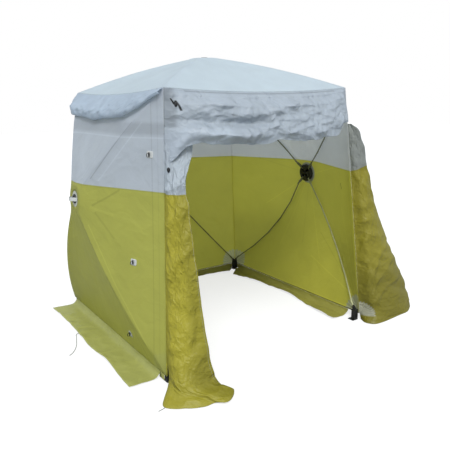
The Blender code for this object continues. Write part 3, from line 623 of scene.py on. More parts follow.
steps, rings = 64, 84
cover_weights, covers = {}, {}
for seed, panel in enumerate(panels.values()):
    rows, marks, weights = [], [], []
    for ring in range(-3, rings + 1):
        row, mark = [], []
        for column in range(4 * steps):
            side, step = divmod(column, steps)
            share = 2 * step / steps - 1
            edge_u, edge_v, edge_w = panel.edge_point(side, share)
            out = Vector((edge_u, edge_v - panel.hub_v))
            way = max(ring, 0) / rings
            radius = cover_flat + (out.length - cover_flat) * way
            if ring < 0:
                radius = cover_flat + (cover_flat - cover_hole) * ring / 3
            spot = out.normalized() * radius + panel.sideways(radius, out.length, side, share)
            out_by = panel.height(radius, out.length, side, share, edge_w)
            out_by += slack(panel, spot, share, way, seed * 31)
            point = panel.world(spot.x, spot.y + panel.hub_v, out_by)
            row.append(point)
            mark.append((spot.x, point.z if panel.name != "roof" else spot.y + above_seam))
            weights.append(follow_weight(spot, out.length, share))
        rows.append(row)
        marks.append(mark)
    outside, inside = panel.name + "_outside", panel.name + "_inside"
    if panel.name == "roof":
        node_name, slot = "roof_canopy", "roof_cloth"
        roof_edge = rows[-1], rows[-2]
        outer = coated_cloth(outside, "c5d2db", "c5d2db", 0.45, cover_crumple)
        inner = coated_cloth(inside, "d2d8d9", "d2d8d9", 0.6, cover_crumple)
    else:
        node_name, slot = panel.name + "_wall", "wall_cloth"
        crushed = (5, 0.0035)
        fan = (0.15, 0.9, foot_side / 2 - 0.003)
        lines = outside_lines[panel.name]
        # The outside colours are paler and bluer than the inside's: a painted sheen of the sky on the coating
        outer = coated_cloth(outside, "b7bfca", "afb159", 0.5, cover_crumple, lines, facets=crushed)
        lines = inside_lines[panel.name]
        # The inside colours are painted lighter: painted light for the dim inside of the tent
        inner = coated_cloth(
            inside, "eeeeea", "e3dd5c", 0.6, cover_crumple, lines, fan=fan, facets=crushed
        )
    cover = cloth(node_name + "_cloth", rows, marks, [outer, inner], cover_thickness, closed=True)
    follow_hub(cover, panel)
    cover_weights[panel.name], covers[panel.name] = weights, cover
    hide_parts(node_name)
left, right, back, roof = (panels[name] for name in ("left", "right", "back", "roof"))

# Corner tapes: strips of the walls' cloth, folded in half and sewn in down the four corners. Each closes
# the joint between two walls, or between a wall and a drape, from the hem to the eaves.
stitch_lines = []
stitch_lift = 0.0004


def sew_beside(edge, inner, inset, lift, outwards):
    """Mark a row of stitches on a sheet, inset from its edge towards its next row, and clear of its face."""
    line = []
    for at, (point, beside) in enumerate(zip(edge, inner)):
        along = edge[min(at + 1, len(edge) - 1)] - edge[max(at - 1, 0)]
        face = along.cross(beside - point).normalized()
        face *= 1 if face.dot(outwards) > 0 else -1
        line.append(point + (beside - point).normalized() * inset + face * lift + middle)
    stitch_lines.append(line)


# The tape takes the walls' lighter inside colours: painted light, which hides the shade in the joint
tape_cloth = coated_cloth("corner_tape", "eeeeea", "e3dd5c", 0.6, cover_crumple)
tape_half, tape_inset, tape_top_gap, tape_steps = 0.0045, 0.0022, 0.012, 60
tape_length = eaves_height - tape_top_gap - hem_height
for x_side in (-1, 1):
    for y_side in (-1, 1):
        rows, marks = [], []
        for step in range(tape_steps + 1):
            height = hem_height + tape_length * step / tape_steps
            corner = half_side(height) - tape_inset
            row = []
            for across in (-1, -0.5, 0, 0.5, 1):
                x, y = (corner - tape_half * (1 + way * across) / 2 for way in (1, -1))
                row.append(Vector((x_side * x, y_side * y, height)))
            rows.append(row if x_side * y_side > 0 else row[::-1])
            marks.append([(across * 0.005, height) for across in range(5)])
        name = "corner_tape_" + ("f" if y_side < 0 else "r") + ("l" if x_side < 0 else "r")
        tape = cloth(name, rows, marks, [tape_cloth], cover_thickness, offset=0)
        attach(tape, "root")

# Vent hood: a puffed flap of the roof's white cloth over the left wall's vent, sewn along the roof's edge
# and held out by a stiff hem that dips to a blunt tip in its middle
hood_hem = [(-1, 0.148), (-0.8, 0.158), (-0.4, 0.16), (-0.13, 0.175)]
hood_hem += [(0.05, 0.162), (0.5, 0.152), (0.75, 0.105), (1, 0.034)]


def between(share, points, eased=False):
    """The value at a share in a table of (share, value), which may ease in and out at each point."""
    for (before, first), (after, second) in zip(points, points[1:]):
        if share <= after:
            way = (share - before) / (after - before)
            return first + (second - first) * (way * way * (3 - 2 * way) if eased else way)


hood_cloth = coated_cloth("hood_cloth", "c8d4df", "c8d4df", 0.6, 0.0012, split=0, facets=(6, 0.007))
hood_columns, hood_rows = 140, 40
hood_seat, hood_hem_out, hood_swell, hood_thickness = 0.0009, 0.02, 0.036, 0.001
hood_ripples, hood_creases = 0.016, 0.014
rows, marks = [], []
for row in range(hood_rows + 1):
    down = row / hood_rows
    line, mark = [], []
    for column in range(hood_columns + 1):
        share = 2 * column / hood_columns - 1
        edge = left.edge_point(2, -share)
        top = left.world(edge[0], edge[1], hood_seat)
        drop = between(share, hood_hem)
        hem_v = edge[1] - drop
        hem = left.world(edge[0], hem_v, left.stands_out(edge[0] * 0.985, hem_v) + hood_hem_out)
        free = math.sin(math.pi * down**1.5) if 0 < row < hood_rows else 0
        swell = hood_swell * (1 - max(share, 0) ** 2 * 0.6) * free**0.8
        crease = noise.noise(Vector((share * 7, down * 2.6, 3.0))) * hood_ripples
        crease += abs(noise.noise(Vector((share * 13 + down * 2, down * 4, 9.0)))) * hood_creases
        line.append(top.lerp(hem, down) + left.n * (swell + crease * free))
        mark.append((edge[0], above_seam - drop * down))
    rows.append(line)
    marks.append(mark)
sew_beside(rows[-3], rows[-4], 0, hood_thickness + stitch_lift, left.n)
hood = cloth("vent_hood_cloth", rows, marks, [hood_cloth], hood_thickness, offset=1)
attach(hood, "root")
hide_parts("vent_hood_left")

# Front header: a slack, crumpled valance of white coated cloth, sewn along the roof's front edge. It
# bulges out over the drapes in a long roll, and turns in again to a ragged hem.
header_lines = [
    (0.008, -0.25, [(-0.6, 4.985), (0.6, 4.985)]),
    # A painted highlight on the roll that turns down at the left, painted shade on the flat corner, and the
    # black strap of the buckle
    (0.08, 0.13, [(-0.69, 4.5), (-0.63, 4.64), (-0.45, 4.66)]),
    (0.05, -0.28, [(-0.71, 4.97), (-0.725, 4.75)]),
    (0.006, -0.93, [(-0.7, 4.92), (-0.694, 4.904), (-0.69, 4.884)]),
    (0.0045, -0.93, [(-0.69, 4.888), (-0.679, 4.904)]),
    (0.0085, -0.93, [(-0.677, 4.904), (-0.669, 4.88), (-0.661, 4.842)]),
]
# The header's white is darker than the roof's: painted shade for the cloth that hangs below the roof's edge
header_cloth = coated_cloth(
    "header_cloth", "b0b9c2", "b0b9c2", 0.42, 0.0014, header_lines, split=0, facets=(7, 0.012)
)
# The line along which the left end's roll turns up from its hanging corner and on to the right
rolled_end = [
    *[(-0.735, 1.34), (-0.725, 1.4), (-0.71, 1.45), (-0.686, 1.477), (-0.657, 1.499), (-0.617, 1.526)],
    *[(-0.564, 1.525), (-0.536, 1.507), (-0.447, 1.503), (-0.367, 1.489), (-0.295, 1.462)],
]
header_folds = [
    (0.018, 0.045, 0.04, [(-0.655, 1.717), (-0.542, 1.711), (-0.487, 1.687), (-0.435, 1.663)]),
    (0.02, 0.038, 0.05, [(-0.435, 1.663), (-0.33, 1.685), (-0.217, 1.708)]),
    (0.03, 0.061, 0.035, [(-0.2, 1.588), (-0.111, 1.615), (0.01, 1.638), (0.117, 1.655)]),
    (0.014, 0.03, 0.03, [(0.113, 1.648), (0.242, 1.672), (0.343, 1.644), (0.432, 1.663), (0.504, 1.635)]),
    (
        -0.016,
        0.038,
        0.038,
        [(-0.657, 1.588), (-0.566, 1.581), (-0.476, 1.573), (-0.266, 1.566), (-0.158, 1.581)],
    ),
    (0.03, 0.061, 0.03, rolled_end),
    (0.007, 0.019, 0.015, [(-0.654, 1.633), (-0.592, 1.649), (-0.538, 1.659)]),
    (0.007, 0.019, 0.015, [(-0.638, 1.599), (-0.57, 1.626), (-0.502, 1.641)]),
    (-0.008, 0.023, 0.023, [(-0.28, 1.537), (-0.144, 1.55), (-0.059, 1.566)]),
    (0.012, 0.03, 0.023, [(-0.275, 1.502), (-0.153, 1.527), (-0.088, 1.542), (-0.006, 1.521)]),
    (0.012, 0.03, 0.023, [(-0.035, 1.559), (0.093, 1.573), (0.218, 1.589), (0.356, 1.611), (0.451, 1.57)]),
    (0.008, 0.023, 0.015, [(0.032, 1.52), (0.126, 1.541), (0.237, 1.576)]),
    (0.008, 0.023, 0.015, [(0.007, 1.484), (0.117, 1.492), (0.23, 1.519), (0.319, 1.548)]),
    (0.012, 0.03, 0.023, [(0.29, 1.472), (0.424, 1.511), (0.632, 1.551)]),
    (-0.006, 0.023, 0.023, [(-0.232, 1.696), (-0.207, 1.648), (-0.195, 1.599)]),
]
buckle_place, door_hook_place = (
    (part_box(name)[0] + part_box(name)[1]) / 2 - middle for name in ("header_buckle", "door_hook")
)


def relief(across, up, folds):
    """How far folds push a sheet out. A fold is (height, width above its crest, width below it, crest)."""
    total = 0
    for rise, upper, lower, crest in folds:
        nearest, side = math.inf, 0
        for (from_across, from_up), (to_across, to_up) in zip(crest, crest[1:]):
            long, tall = to_across - from_across, to_up - from_up
            way = ((across - from_across) * long + (up - from_up) * tall) / (long**2 + tall**2)
            way = min(1, max(0, way))
            beside, above = across - from_across - long * way, up - from_up - tall * way
            gap = math.hypot(beside, above)
            if gap < nearest:
                nearest, side = gap, long * above - tall * beside
        total += rise * math.exp(-((nearest / (upper if side > 0 else lower)) ** 1.5))
    return total


crease_sets = [(2.1, 0.2, 0.028), (1.1, 0.15, 0.018), (0.4, 0.09, 0.008), (2.7, 0.05, 0.004)]


def crumpled(across, up, seed):
    """How far slack cloth stands out in straight-sided creases, which cross in several directions.

    Each set of creases has its direction, its spacing and its depth.
    """
    total = 0
    for turn, spacing, depth in crease_sets:
        along = across * math.cos(turn) + up * math.sin(turn)
        bend = noise.noise(Vector((across * 4, up * 4, seed + turn)))
        ridge = abs((along / spacing + bend) % 1 - 0.5) * 2 - 0.5
        patch = 0.65 + 1.1 * noise.noise(Vector((across * 4 + seed, up * 4, turn * 7)))
        total += ridge * depth * min(1, max(0, patch))
    return total


# How far the header stands out, as shares of its widest, on the way from its top to its hem: in its left
# half, where it hangs in a roll over a hollow, and in its right half
header_roll = [(0, 0), (0.12, 0.34), (0.3, 0.7), (0.45, 0.76)]
header_roll += [(0.6, 0.72), (0.72, 0.95), (0.84, 1.06), (1, 0.86)]
header_plain = [(0, 0), (0.12, 0.3), (0.3, 0.66), (0.45, 0.78)]
header_plain += [(0.6, 0.88), (0.72, 0.97), (0.84, 1.02), (1, 0.96)]
header_columns, header_rows, header_half, header_bulge = 280, 100, 0.735, 0.165
# The header's cloth is longer than its drop by this much
header_fullness = 1.3
# How far its hem wanders up and down between the points of its line
hem_wander = 0.006
hem_points = [
    *[(-0.735, 1.335), (-0.715, 1.345), (-0.69, 1.372), (-0.66, 1.408), (-0.62, 1.443), (-0.564, 1.452)],
    *[(-0.505, 1.446), (-0.407, 1.436), (-0.301, 1.436), (-0.203, 1.425), (-0.11, 1.426), (-0.063, 1.438)],
    *[(-0.015, 1.448), (0.076, 1.437), (0.179, 1.429), (0.266, 1.431), (0.33, 1.434), (0.367, 1.446)],
    *[(0.489, 1.453), (0.534, 1.498), (0.587, 1.53), (0.735, 1.53)],
]
hem_line = smooth_through([(across, 0, up) for across, up in hem_points], 600)
rows, marks = [], []
for row in range(header_rows + 1):
    down = row / header_rows
    line, mark = [], []
    for column in range(header_columns + 1):
        share = 2 * column / header_columns - 1
        top = eaves_height + roof.edge_point(0, share)[2] - cover_inset
        hem = min(hem_line, key=lambda point: abs(point.x - share * header_half)).z
        height = top + (hem - top) * down
        loose = 1 - share**6
        plain = min(1, max(0, share * 2 + 0.8))
        bulge = between(down, header_roll, True) * (1 - plain) + between(down, header_plain, True) * plain
        bulge *= header_bulge * loose
        across = share * (half_side(height) - cover_inset)
        folds = relief(across, height, header_folds)
        point = Vector((across, -half_side(height) - bulge, height))
        calm = calm_near(point, buckle_place) * min(1, down * 9) * loose
        creases = crumpled(across, height, 2.0) * (0.7 + 0.3 * min(1, max(0, share + 0.5)))
        point.y -= (folds + creases) * calm
        point.z += noise.noise(Vector((share * 14, 4.0, 2.0))) * hem_wander * down * loose
        line.append(point)
        mark.append((across, above_seam - (top - hem) * down * header_fullness))
    rows.append(line)
    marks.append(mark)
sew_beside(rows[-4], rows[-5], 0, stitch_lift, -back.n)
sew_beside(rows[3], rows[4], 0, stitch_lift, -back.n)
header = cloth("front_header_cloth", rows, marks, [header_cloth], cover_thickness)
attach(header, "root")
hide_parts("front_header")

# Drapes: the two halves of the front curtain, of the same coated cloth, each sewn to a front corner's edge.
# They are white above the seam and yellow below it, hang in folds and lie spread on the ground. Their cloth
# is darker towards the ground. The left one has painted shade along its free edge, and the right one takes
# darker colours, painted shade for where it hangs in the tent's shadow, with a lighter band at its top.
# The left drape: darker towards the ground, and painted shade along its free edge
drape_tones = [(0.3, -0.12, [(-1, 0), (1, 0)]), (0.16, -0.2, [(0.4, 1.1), (0.4, 0.1)])]
drape_left_cloth = coated_cloth(
    "drape_left_cloth", "b6bfc7", "b0a836", 0.42, 0.0014, drape_tones, facets=(16, 0.007)
)
drape_tones = [(0.5, -0.25, [(-1, 0.05), (1, 0.05)]), (0.09, 0.35, [(-1, 1.52), (1, 1.52)])]
# The right drape: darker towards the ground and lighter at its top; its darker colours are painted shade
drape_right_cloth = coated_cloth(
    "drape_right_cloth", "8a8e89", "928a29", 0.35, 0.0012, drape_tones, fan=(0.1, 0.65, 0.0), facets=(14, 0.005)
)
left_sections = [
    (1.51, (-0.70, -0.762), (-0.60, -0.79)),
    (1.45, (-0.69, -0.77), (-0.59, -0.80)),
    (1.38, (-0.71, -0.785), (-0.61, -0.82)),
    (1.31, (-0.735, -0.815), (-0.65, -0.845)),
    (1.19, (-0.77, -0.87), (-0.698, -0.891)),
    (0.85, (-0.79, -0.92), (-0.695, -0.968)),
    (0.54, (-0.81, -0.96), (-0.675, -0.995)),
    (0.27, (-0.85, -1.02), (-0.664, -1.041)),
    (0.09, (-0.89, -1.09), (-0.64, -1.073)),
]
left_ground = [
    (-0.859, -0.862),
    (-0.93, -0.97),
    (-0.987, -1.077),
    (-0.89, -1.165),
    (-0.80, -1.205),
    (-0.73, -1.21),
    (-0.69, -1.25),
    (-0.625, -1.232),
    (-0.56, -1.15),
    (-0.59, -1.08),
]
left_folds = [
    (0.02, 0.067, 0.033, [(-0.753, 1.339), (-0.739, 1.398), (-0.722, 1.42)]),
    (-0.01, 0.016, 0.016, [(-0.76, 1.299), (-0.731, 1.312), (-0.701, 1.334)]),
    (0.009, 0.02, 0.013, [(-0.769, 1.26), (-0.745, 1.29), (-0.696, 1.305)]),
    (0.009, 0.02, 0.013, [(-0.778, 1.194), (-0.76, 1.238), (-0.724, 1.261), (-0.691, 1.276)]),
    (0.007, 0.016, 0.013, [(-0.784, 1.199), (-0.74, 1.222), (-0.71, 1.239)]),
    (
        0.014,
        0.04,
        0.02,
        [(-0.808, 0.7), (-0.79, 0.782), (-0.764, 0.832), (-0.737, 0.92), (-0.706, 1.001), (-0.7, 1.113)],
    ),
    (0.01, 0.027, 0.02, [(-0.801, 0.895), (-0.785, 0.991), (-0.741, 1.057), (-0.715, 1.115)]),
    (-0.008, 0.02, 0.02, [(-0.784, 0.893), (-0.74, 0.972), (-0.724, 1.06)]),
    (0.008, 0.02, 0.013, [(-0.792, 0.994), (-0.77, 1.07), (-0.748, 1.155)]),
    (0.008, 0.02, 0.013, [(-0.806, 0.73), (-0.78, 0.797), (-0.732, 0.847)]),
    (-0.009, 0.017, 0.017, [(-0.802, 0.83), (-0.773, 0.874), (-0.73, 0.903)]),
    (0.008, 0.033, 0.027, [(-0.864, 0.306), (-0.81, 0.37), (-0.823, 0.466), (-0.787, 0.573)]),
    (-0.01, 0.027, 0.027, [(-0.746, 0.305), (-0.706, 0.446), (-0.72, 0.568)]),
    (0.006, 0.02, 0.02, [(-0.87, 0.109), (-0.842, 0.257), (-0.83, 0.433)]),
    (0.008, 0.027, 0.02, [(-0.787, 0.164), (-0.74, 0.22), (-0.695, 0.23)]),
]
left_ground_folds = [
    (
        -0.01,
        0.02,
        0.02,
        [(-0.885, -0.955), (-0.869, -1.075), (-0.768, -1.061), (-0.69, -1.089), (-0.612, -1.086)],
    ),
    (0.012, 0.027, 0.02, [(-0.885, -1.141), (-0.811, -1.171), (-0.702, -1.181), (-0.654, -1.161)]),
    (0.016, 0.03, 0.03, [(-0.617, -1.128), (-0.585, -1.154), (-0.632, -1.222), (-0.69, -1.236)]),
]
right_sections = [
    (1.515, (0.755, -0.77), (0.762, -0.772)),
    (1.44, (0.79, -0.80), (0.84, -0.80)),
    (1.15, (0.84, -0.84), (0.94, -0.80)),
    (0.85, (0.88, -0.89), (1.04, -0.81)),
    (0.54, (0.92, -0.93), (1.18, -0.84)),
    (0.27, (0.95, -0.97), (1.32, -0.87)),
    (0.09, (0.98, -1.0), (1.38, -0.90)),
]
right_ground = [
    (0.859, -0.862),
    (0.835, -0.93),
    (0.87, -0.99),
    (0.955, -1.002),
    (1.06, -0.995),
    (1.17, -0.985),
    (1.28, -0.975),
    (1.385, -0.92),
]
right_folds = [
    (0.008, 0.025, 0.017, [(0.85, 0.167), (0.87, 0.345), (0.982, 0.524), (1.144, 0.608)]),
    (0.008, 0.025, 0.017, [(0.867, 0.175), (0.933, 0.338), (1.163, 0.466)]),
    (0.007, 0.025, 0.017, [(0.886, 0.159), (1.015, 0.268), (1.284, 0.316)]),
    (0.006, 0.025, 0.017, [(0.842, 0.182), (0.845, 0.374), (0.847, 0.656)]),
    (0.006, 0.017, 0.017, [(0.794, 1.138), (0.841, 1.071), (0.917, 1.026)]),
    (0.006, 0.033, 0.025, [(0.789, 0.956), (0.826, 0.847), (0.892, 0.691)]),
    (0.008, 0.033, 0.025, [(0.756, 1.423), (0.771, 1.329), (0.79, 1.235)]),
    (-0.008, 0.033, 0.025, [(0.763, 1.474), (0.787, 1.366), (0.824, 1.277)]),
]


def drape_rows(side, sections, ground, folds, depths, columns, lines):
    """Rows from the top down. A section is (height, forward point, free edge), and side is -1 or 1."""
    rows = []
    highest = sections[0][0]
    for height, forward, free in sections:
        seam = half_side(height) - cover_inset
        start = Vector((side * half_side(height), -seam - 0.0006, height))
        end = Vector((*free, height))
        line = smooth_through([start, Vector((*forward, height)), end], columns)
        across = (end - start).normalized()
        out = Vector((across.y, -across.x, 0))
        depth = (depths[1] + (depths[0] - depths[1]) * height / highest) * min(1, (highest - height) * 5)
        for at, point in enumerate(line):
            share = at / (columns - 1)
            point += out * depth * math.sin(2 * math.pi * folds * share) * min(1, share * 4)
        rows.append(line)
    rows.append(smooth_through([Vector((x, y, 0.004)) for x, y in ground], columns))
    smoothed = [smooth_through([row[column] for row in rows], lines) for column in range(columns)]
    return [list(row) for row in zip(*smoothed)]


# How far the left drape's edge is drawn aside at its foot, and up to which height
drawn_aside, aside_height = 0.05, 0.14


def folded(rows, hanging_folds, ground_folds, amount, seed):
    """Rows of a drape with its folds: they push what hangs forwards and lift what lies on the ground."""
    made = []
    for at, row in enumerate(rows):
        lying = -max(0, at / (len(rows) - 1) - 0.85) * 2
        new = []
        for column, point in enumerate(row):
            share = column / (len(row) - 1)
            beside = row[min(column + 1, len(row) - 1)] - row[max(column - 1, 0)]
            out = Vector((beside.y, -beside.x, 0)).normalized()
            push = relief(point.x, point.z, hanging_folds)
            push += crumpled(share * 0.4, point.z + lying, seed) * amount
            lift = relief(point.x, point.y, ground_folds) if point.z < 0.1 else 0
            calm = calm_near(point, door_hook_place) * min(1, share * 5)
            # The seam ends above the corner bracket, and the left drape's edge below it is drawn aside and
            # shows the bracket's foot
            aside = drawn_aside if point.x < 0 else 0
            aside *= max(0, 1 - point.z / aside_height) * max(0, 1 - share * 6)
            lifted = Vector((aside, 0, max(0, lift) * calm))
            new.append(point + out * push * min(1, point.z * 8) * calm + lifted)
        made.append(new)
    return made


drape_columns, drape_lines, drape_waves = 110, 260, 1.5
drape_forms = {
    "drape_left": (left_sections, left_ground, left_folds, left_ground_folds),
    "drape_right": (right_sections, right_ground, right_folds, []),
}
drapes = {}
for name, side, depths, amount, tilt, finish, flat in (
    ("drape_left", -1, (0.008, 0.02), 0.3, 0, drape_left_cloth, (0.4, 1.6)),
    ("drape_right", 1, (0.004, 0.02), 0.5, 0.05, drape_right_cloth, (0.35, 1.6)),
):
    sections, ground, hanging, lying = drape_forms[name]
    rows = drape_rows(side, sections, ground, drape_waves, depths, drape_columns, drape_lines)
    marks = [
        [(flat[0] * at / drape_columns, point.z - tilt * at / drape_columns) for at, point in enumerate(row)]
        for row in rows
    ]
    rows = folded(rows, hanging, lying, amount, 5.0 + side)
    free_edge, beside = ([row[column] for row in rows[8:-24]] for column in (-4, -5))
    sew_beside(free_edge, beside, 0, stitch_lift, -back.n)
    drape = cloth(name + "_cloth", rows, marks, [finish], cover_thickness, offset=side)
    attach(drape, "root")
    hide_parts(name)
    drapes[name] = drape

# Skirts: strips of yellow coated cloth sewn below the three walls, spread outwards on the ground on the
# left to be weighed down, and tucked in on the right and at the back
skirt_cloth = coated_cloth("skirt_cloth", "a1a35a", "a1a35a", 0.2, 0.0012, facets=(5, 0.006))
# The tucked-in skirts take a darker copy of the cloth: painted shade inside the tent
shaded_skirt_cloth = coated_cloth("shaded_skirt_cloth", "8c883f", "8c883f", 0.1, 0.0012, facets=(5, 0.006))
# Each skirt's width, and how far its edge wanders and in how many waves
skirt_edges = {"left": (0.2, 0.008, 2), "right": (0.125, 0.045, 1), "back": (0.09, 0.04, 2)}
skirt_columns, skirt_lines, skirt_lift, skirt_thickness = 200, 30, 0.012, 0.0012
# As far from a wall's middle as a skirt can reach, and how far its ends stop short of that: at the
# brackets' sides, at the front of the tent, and where two mitred ends meet
full = half_side(0) - 0.001
bracket_gap, front_gap, mitre_gap = 0.066, 0.12, 0.03


def skirt_rows(panel, outwards, ends, mitred):
    """Rows from the hem outwards or inwards. A mitred end narrows towards the corner that it shares."""
    rows = []
    width, wander, waves = skirt_edges[panel.name]
    section = [(0, hem_height - 0.0006), (0.01, 0.028), (0.04, 0.006), (width * 0.57, 0.004), (width, 0.004)]
    flat = Vector((panel.n.x, panel.n.y, 0)).normalized()
    for mark in smooth_through([Vector((away, height, 0)) for away, height in section], skirt_lines):
        away, height = mark.x, mark.y
        spread = away / width
        row = []
        for column in range(skirt_columns + 1):
            share = column / skirt_columns
            along = ends[0] + (ends[1] - ends[0]) * share
            lift = skirt_lift * spread * (0.5 + 0.5 * math.sin(6 * math.pi * share))
            widest = width + wander * math.cos(2 * math.pi * waves * share)
            if along * mitred > 0:
                widest = min(widest, full - along * mitred - mitre_gap)
            ripple = abs(noise.noise(Vector((share * 16, spread * 2.5, panel.origin.x))))
            ripple *= skirt_lift * spread
            point = panel.u * along + flat * (half_side(height) - 0.0005 + outwards * spread * widest)
            row.append(Vector((point.x, point.y, height + lift + ripple)))
        rows.append(row)
    return rows


for name, panel, outwards, ends, mitred in (
    ("skirt_left", left, 1, (0.05 - full, full - 0.088), 0),
    ("skirt_right", right, -1, (front_gap - full, full - bracket_gap), 1),
    ("skirt_back", back, -1, (bracket_gap - full, full - bracket_gap), -1),
):
    rows = skirt_rows(panel, outwards, ends, mitred)
    marks = [[(at * 0.0085, line * 0.008) for at in range(len(row))] for line, row in enumerate(rows)]
    # The tucked-in skirts take the darker copy, painted shade
    finish = skirt_cloth if panel is left else shaded_skirt_cloth
    skirt = cloth(name + "_cloth", rows, marks, [finish], skirt_thickness, offset=0)
    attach(skirt, "root")
    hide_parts(name)

# Corner flaps: past the skirts' ends their cloth goes on straight down outside the bracket, around the
# rear right corner and beside the front left one, and keeps the daylight out. A flap is (its side of the
# tent, its lower edge's height, its course as insets from the corner).
corner_flaps = {
    "corner_flap_rr": (1, 0.004, [(0.075, 0), (0, 0), (0, 0.075)]),
    "corner_flap_fl": (-1, 0.012, [(0, 0.03), (0, 0.095)]),
}
flap_top, flap_lines, flap_inset, flap_thickness = hem_height - 0.001, 6, 0.0004, 0.0006
for name, (side, lowest, course) in corner_flaps.items():
    rows, marks = [], []
    for line in range(flap_lines + 1):
        height = lowest + (flap_top - lowest) * line / flap_lines
        edge = half_side(height) - flap_inset
        rows.append([Vector((side * (edge - x), side * (edge - y), height)) for x, y in course])
        marks.append([(0.075 * at, height) for at in range(len(course))])
    # The rear right flap takes the darker copy, painted shade
    finish = shaded_skirt_cloth if side > 0 else skirt_cloth
    flap = cloth(name, rows, marks, [finish], flap_thickness)
    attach(flap, "root")

# Hooks: moulded black nylon, each a plate with a curled hook, sewn on. Those on the left wall sit on a tab
# of white webbing and take a guy line, the one on the header holds its strap, and the one on the drape
# holds it open.
cover, drape_left = covers["left"], drapes["drape_left"]
surfaces = {}
for sheet in (cover, header, drape_left):
    surfaces[sheet.name] = BVHTree.FromPolygons(
        [vertex.co for vertex in sheet.data.vertices], [face.vertices for face in sheet.data.polygons]
    )
nearby = KDTree(len(cover.data.vertices))
for vertex in cover.data.vertices:
    nearby.insert(vertex.co, vertex.index)
nearby.balance()
hook_curl = [(0, 0.008, 0.001), (0, 0.009, 0.009), (0, 0, 0.015), (0, -0.01, 0.0135), (0, -0.014, 0.009)]
hook_wire = 0.0038
plate_size = Matrix.Diagonal((0.0095, 0.0155, 0.0032, 1))
tab_half, tab_steps, tab_gap, sewn_gap = (0.023, 0.021), 8, 0.0018, 0.0006
tab_lift, tab_thickness, tab_rounding = 0.0003, 0.001, 0.12
far_off = 0.2
front_left = Vector((0.555, 0.832, 0))


def plain_mesh(piece):
    """The mesh of a piece as its curve or its modifiers make it. The piece itself is removed."""
    bpy.context.view_layer.update()
    made = bpy.data.meshes.new_from_object(piece.evaluated_get(bpy.context.evaluated_depsgraph_get()))
    bpy.data.objects.remove(piece)
    return made


for name, sheet, inwards, gap in (
    ("guy_hook_upper", cover, -left.n, tab_gap),
    ("guy_hook_middle", cover, -left.n, tab_gap),
    ("guy_hook_lower", cover, -left.n, tab_gap),
    ("header_buckle", header, front_left, sewn_gap),
    ("door_hook", drape_left, front_left, sewn_gap),
):
    low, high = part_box(name)
    centre = (low + high) / 2
    across = inwards.cross(Vector((0, 0, 1)))
    turn = Matrix([axis.normalized() for axis in (across, across.cross(inwards), -inwards)])
    turn = turn.transposed().to_4x4()
    shape = bmesh.new()
    shape.from_mesh(plain_mesh(round_line(name + "_wire", smooth_through(hook_curl, 20), hook_wire)))
    bmesh.ops.create_uvsphere(shape, u_segments=28, v_segments=14, radius=1, matrix=plate_size)
    bmesh.ops.transform(shape, matrix=Matrix.Translation(centre) @ turn, verts=shape.verts)
    surface = surfaces[sheet.name]
    reaches = [surface.ray_cast(vertex.co - inwards * far_off, inwards)[3] for vertex in shape.verts]
    room = min(reach or math.inf for reach in reaches)
    bmesh.ops.translate(shape, vec=inwards * (room - far_off - gap), verts=shape.verts)
    mesh = bpy.data.meshes.new(name + "_moulding")
    shape.to_mesh(mesh)
    shape.free()
    mesh.materials.clear()
    mesh.materials.append(nylon)
    mesh.shade_smooth()
    hook = placed(name + "_moulding", mesh)
    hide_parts(name)
    if sheet is not cover:
        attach(hook, "root")
        continue
    rows, marks = [], []
    for row in range(tab_steps + 1):
        line, mark = [], []
        for column in range(tab_steps + 1):
            across, up = (2 * at / tab_steps - 1 for at in (column, row))
            round_off = 1 - tab_rounding * across**4 * up**4
            out = left.u * across * tab_half[0] - left.v * up * tab_half[1]
            hit = surface.ray_cast(centre + out * round_off + left.n * far_off, -left.n)[0]
            line.append(hit + left.n * tab_lift - middle)
            mark.append((across * 0.03, up * 0.03))
        rows.append(line)
        marks.append(mark)
    tab = cloth(name + "_tab", rows, marks, [webbing], tab_thickness, offset=1)
    weight = cover_weights["left"][nearby.find(centre)[1]]
    for piece in (hook, tab):
        follow_hub(piece, left)

# Stitches: rows of spun polyester thread along the roof cover's edges and the hems of the hood, the header
# and the drapes. Each stitch is 4.5 mm long, and they follow one another every 7 mm. The thread is matt,
# with a twist of 0.4 mm.
sew_beside(*roof_edge, 0.003, stitch_lift, roof.n)
thread = grained("spun_polyester_thread", "8f979b", "b4bcc0", 0.8, 0, {"Scale": 2500.0, "Detail": 1.0})
sewing = bpy.data.node_groups.new("stitches_along_lines", "GeometryNodeTree")
sewing.interface.new_socket("Lines", in_out="INPUT", socket_type="NodeSocketGeometry")
sewing.interface.new_socket("Stitches", in_out="OUTPUT", socket_type="NodeSocketGeometry")
stitch_sizes = {"Spacing": 0.007, "Length": 0.0045, "Radius": 0.0006}
identifiers = {
    name: sewing.interface.new_socket(name, in_out="INPUT", socket_type="NodeSocketFloat").identifier
    for name in stitch_sizes
}
given = node(sewing, "NodeGroupInput", {}).outputs
path = node(sewing, "GeometryNodeMeshToCurve", {"Mesh": given["Lines"]})
places = node(
    sewing, "GeometryNodeResampleCurve", {"Curve": path, "Length": given["Spacing"]}, mode="LENGTH"
)
stitch = node(
    sewing, "GeometryNodeMeshCylinder", {"Vertices": 6, "Radius": given["Radius"], "Depth": given["Length"]}
)
way = node(sewing, "GeometryNodeInputTangent", {})
turned = node(sewing, "FunctionNodeAlignRotationToVector", {"Vector": way}, axis="Z")
laid = node(
    sewing, "GeometryNodeInstanceOnPoints", {"Points": places, "Instance": stitch, "Rotation": turned}
)
solid = node(sewing, "GeometryNodeRealizeInstances", {"Geometry": laid})
dressed = node(sewing, "GeometryNodeSetMaterial", {"Geometry": solid, "Material": thread})
node(sewing, "NodeGroupOutput", {"Stitches": dressed})
points, edges = [], []
for line in stitch_lines:
    edges += [(len(points) + at, len(points) + at + 1) for at in range(len(line) - 1)]
    points += line
line_mesh = bpy.data.meshes.new("stitch_lines")
line_mesh.from_pydata(points, edges, [])
lines = placed("stitch_lines", line_mesh)
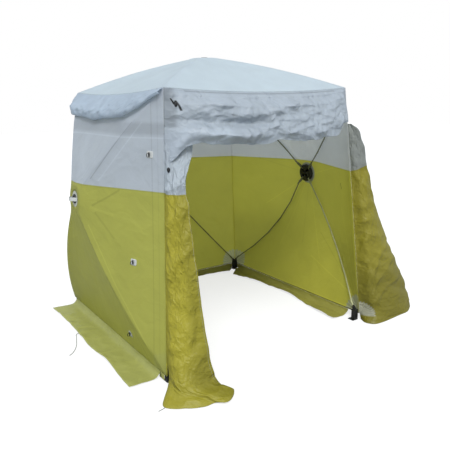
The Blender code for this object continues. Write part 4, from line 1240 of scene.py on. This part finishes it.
modifier = lines.modifiers.new("Stitches", "NODES")
modifier.node_group = sewing
for name, size in stitch_sizes.items():
    modifier[identifiers[name]] = size
stitching = placed("stitching", plain_mesh(lines))
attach(stitching, "root")

# Stage: a white floor that keeps the tent's shadow, a white backdrop, and soft light from the sky and one
# side. The camera sees both as white, and their light on the tent stays plain.
floor_mesh = bpy.data.meshes.new("floor")
floor_mesh.from_pydata([(-30, -30, 0), (30, -30, 0), (30, 30, 0), (-30, 30, 0)], [], [(0, 1, 2, 3)])
floor_white, tree = new_material("floor_white")
seen = node(tree, "ShaderNodeLightPath", {}).outputs["Is Camera Ray"]
near = node(tree, "ShaderNodeMix", {0: seen, 6: linear("a8a8a6"), 7: linear("ffffff")}, data_type="RGBA")
matt = node(tree, "ShaderNodeBsdfPrincipled", {"Base Color": near.outputs[2], "Roughness": 1.0})
white = node(tree, "ShaderNodeEmission", {"Color": linear("ffffff"), "Strength": 1.0})
share = node(tree, "ShaderNodeMath", {0: seen, 1: 0.7}, operation="MULTIPLY")
both = node(tree, "ShaderNodeMixShader", {0: share, 1: matt, 2: white})
node(tree, "ShaderNodeOutputMaterial", {"Surface": both})
floor_mesh.materials.append(floor_white)
placed("floor", floor_mesh)
world = bpy.data.worlds.new("sky")
world.use_nodes = True
tree = world.node_tree
tree.nodes.clear()
seen = node(tree, "ShaderNodeLightPath", {}).outputs["Is Camera Ray"]
sky = node(tree, "ShaderNodeBackground", {"Color": linear("e6edf5"), "Strength": 0.95})
white = node(tree, "ShaderNodeBackground", {"Color": linear("ffffff"), "Strength": 1.0})
both = node(tree, "ShaderNodeMixShader", {0: seen, 1: sky, 2: white})
node(tree, "ShaderNodeOutputWorld", {"Surface": both})
bpy.context.scene.world = world
sun = bpy.data.lights.new("sun", "SUN")
sun.energy = 2.8
sun.angle = 0.5
sun_lamp = placed("sun", sun)
sun_lamp.rotation_euler = Vector((0.3, 0.56, -0.77)).to_track_quat("-Z", "Y").to_euler()
bpy.context.scene.view_settings.view_transform = "Standard"
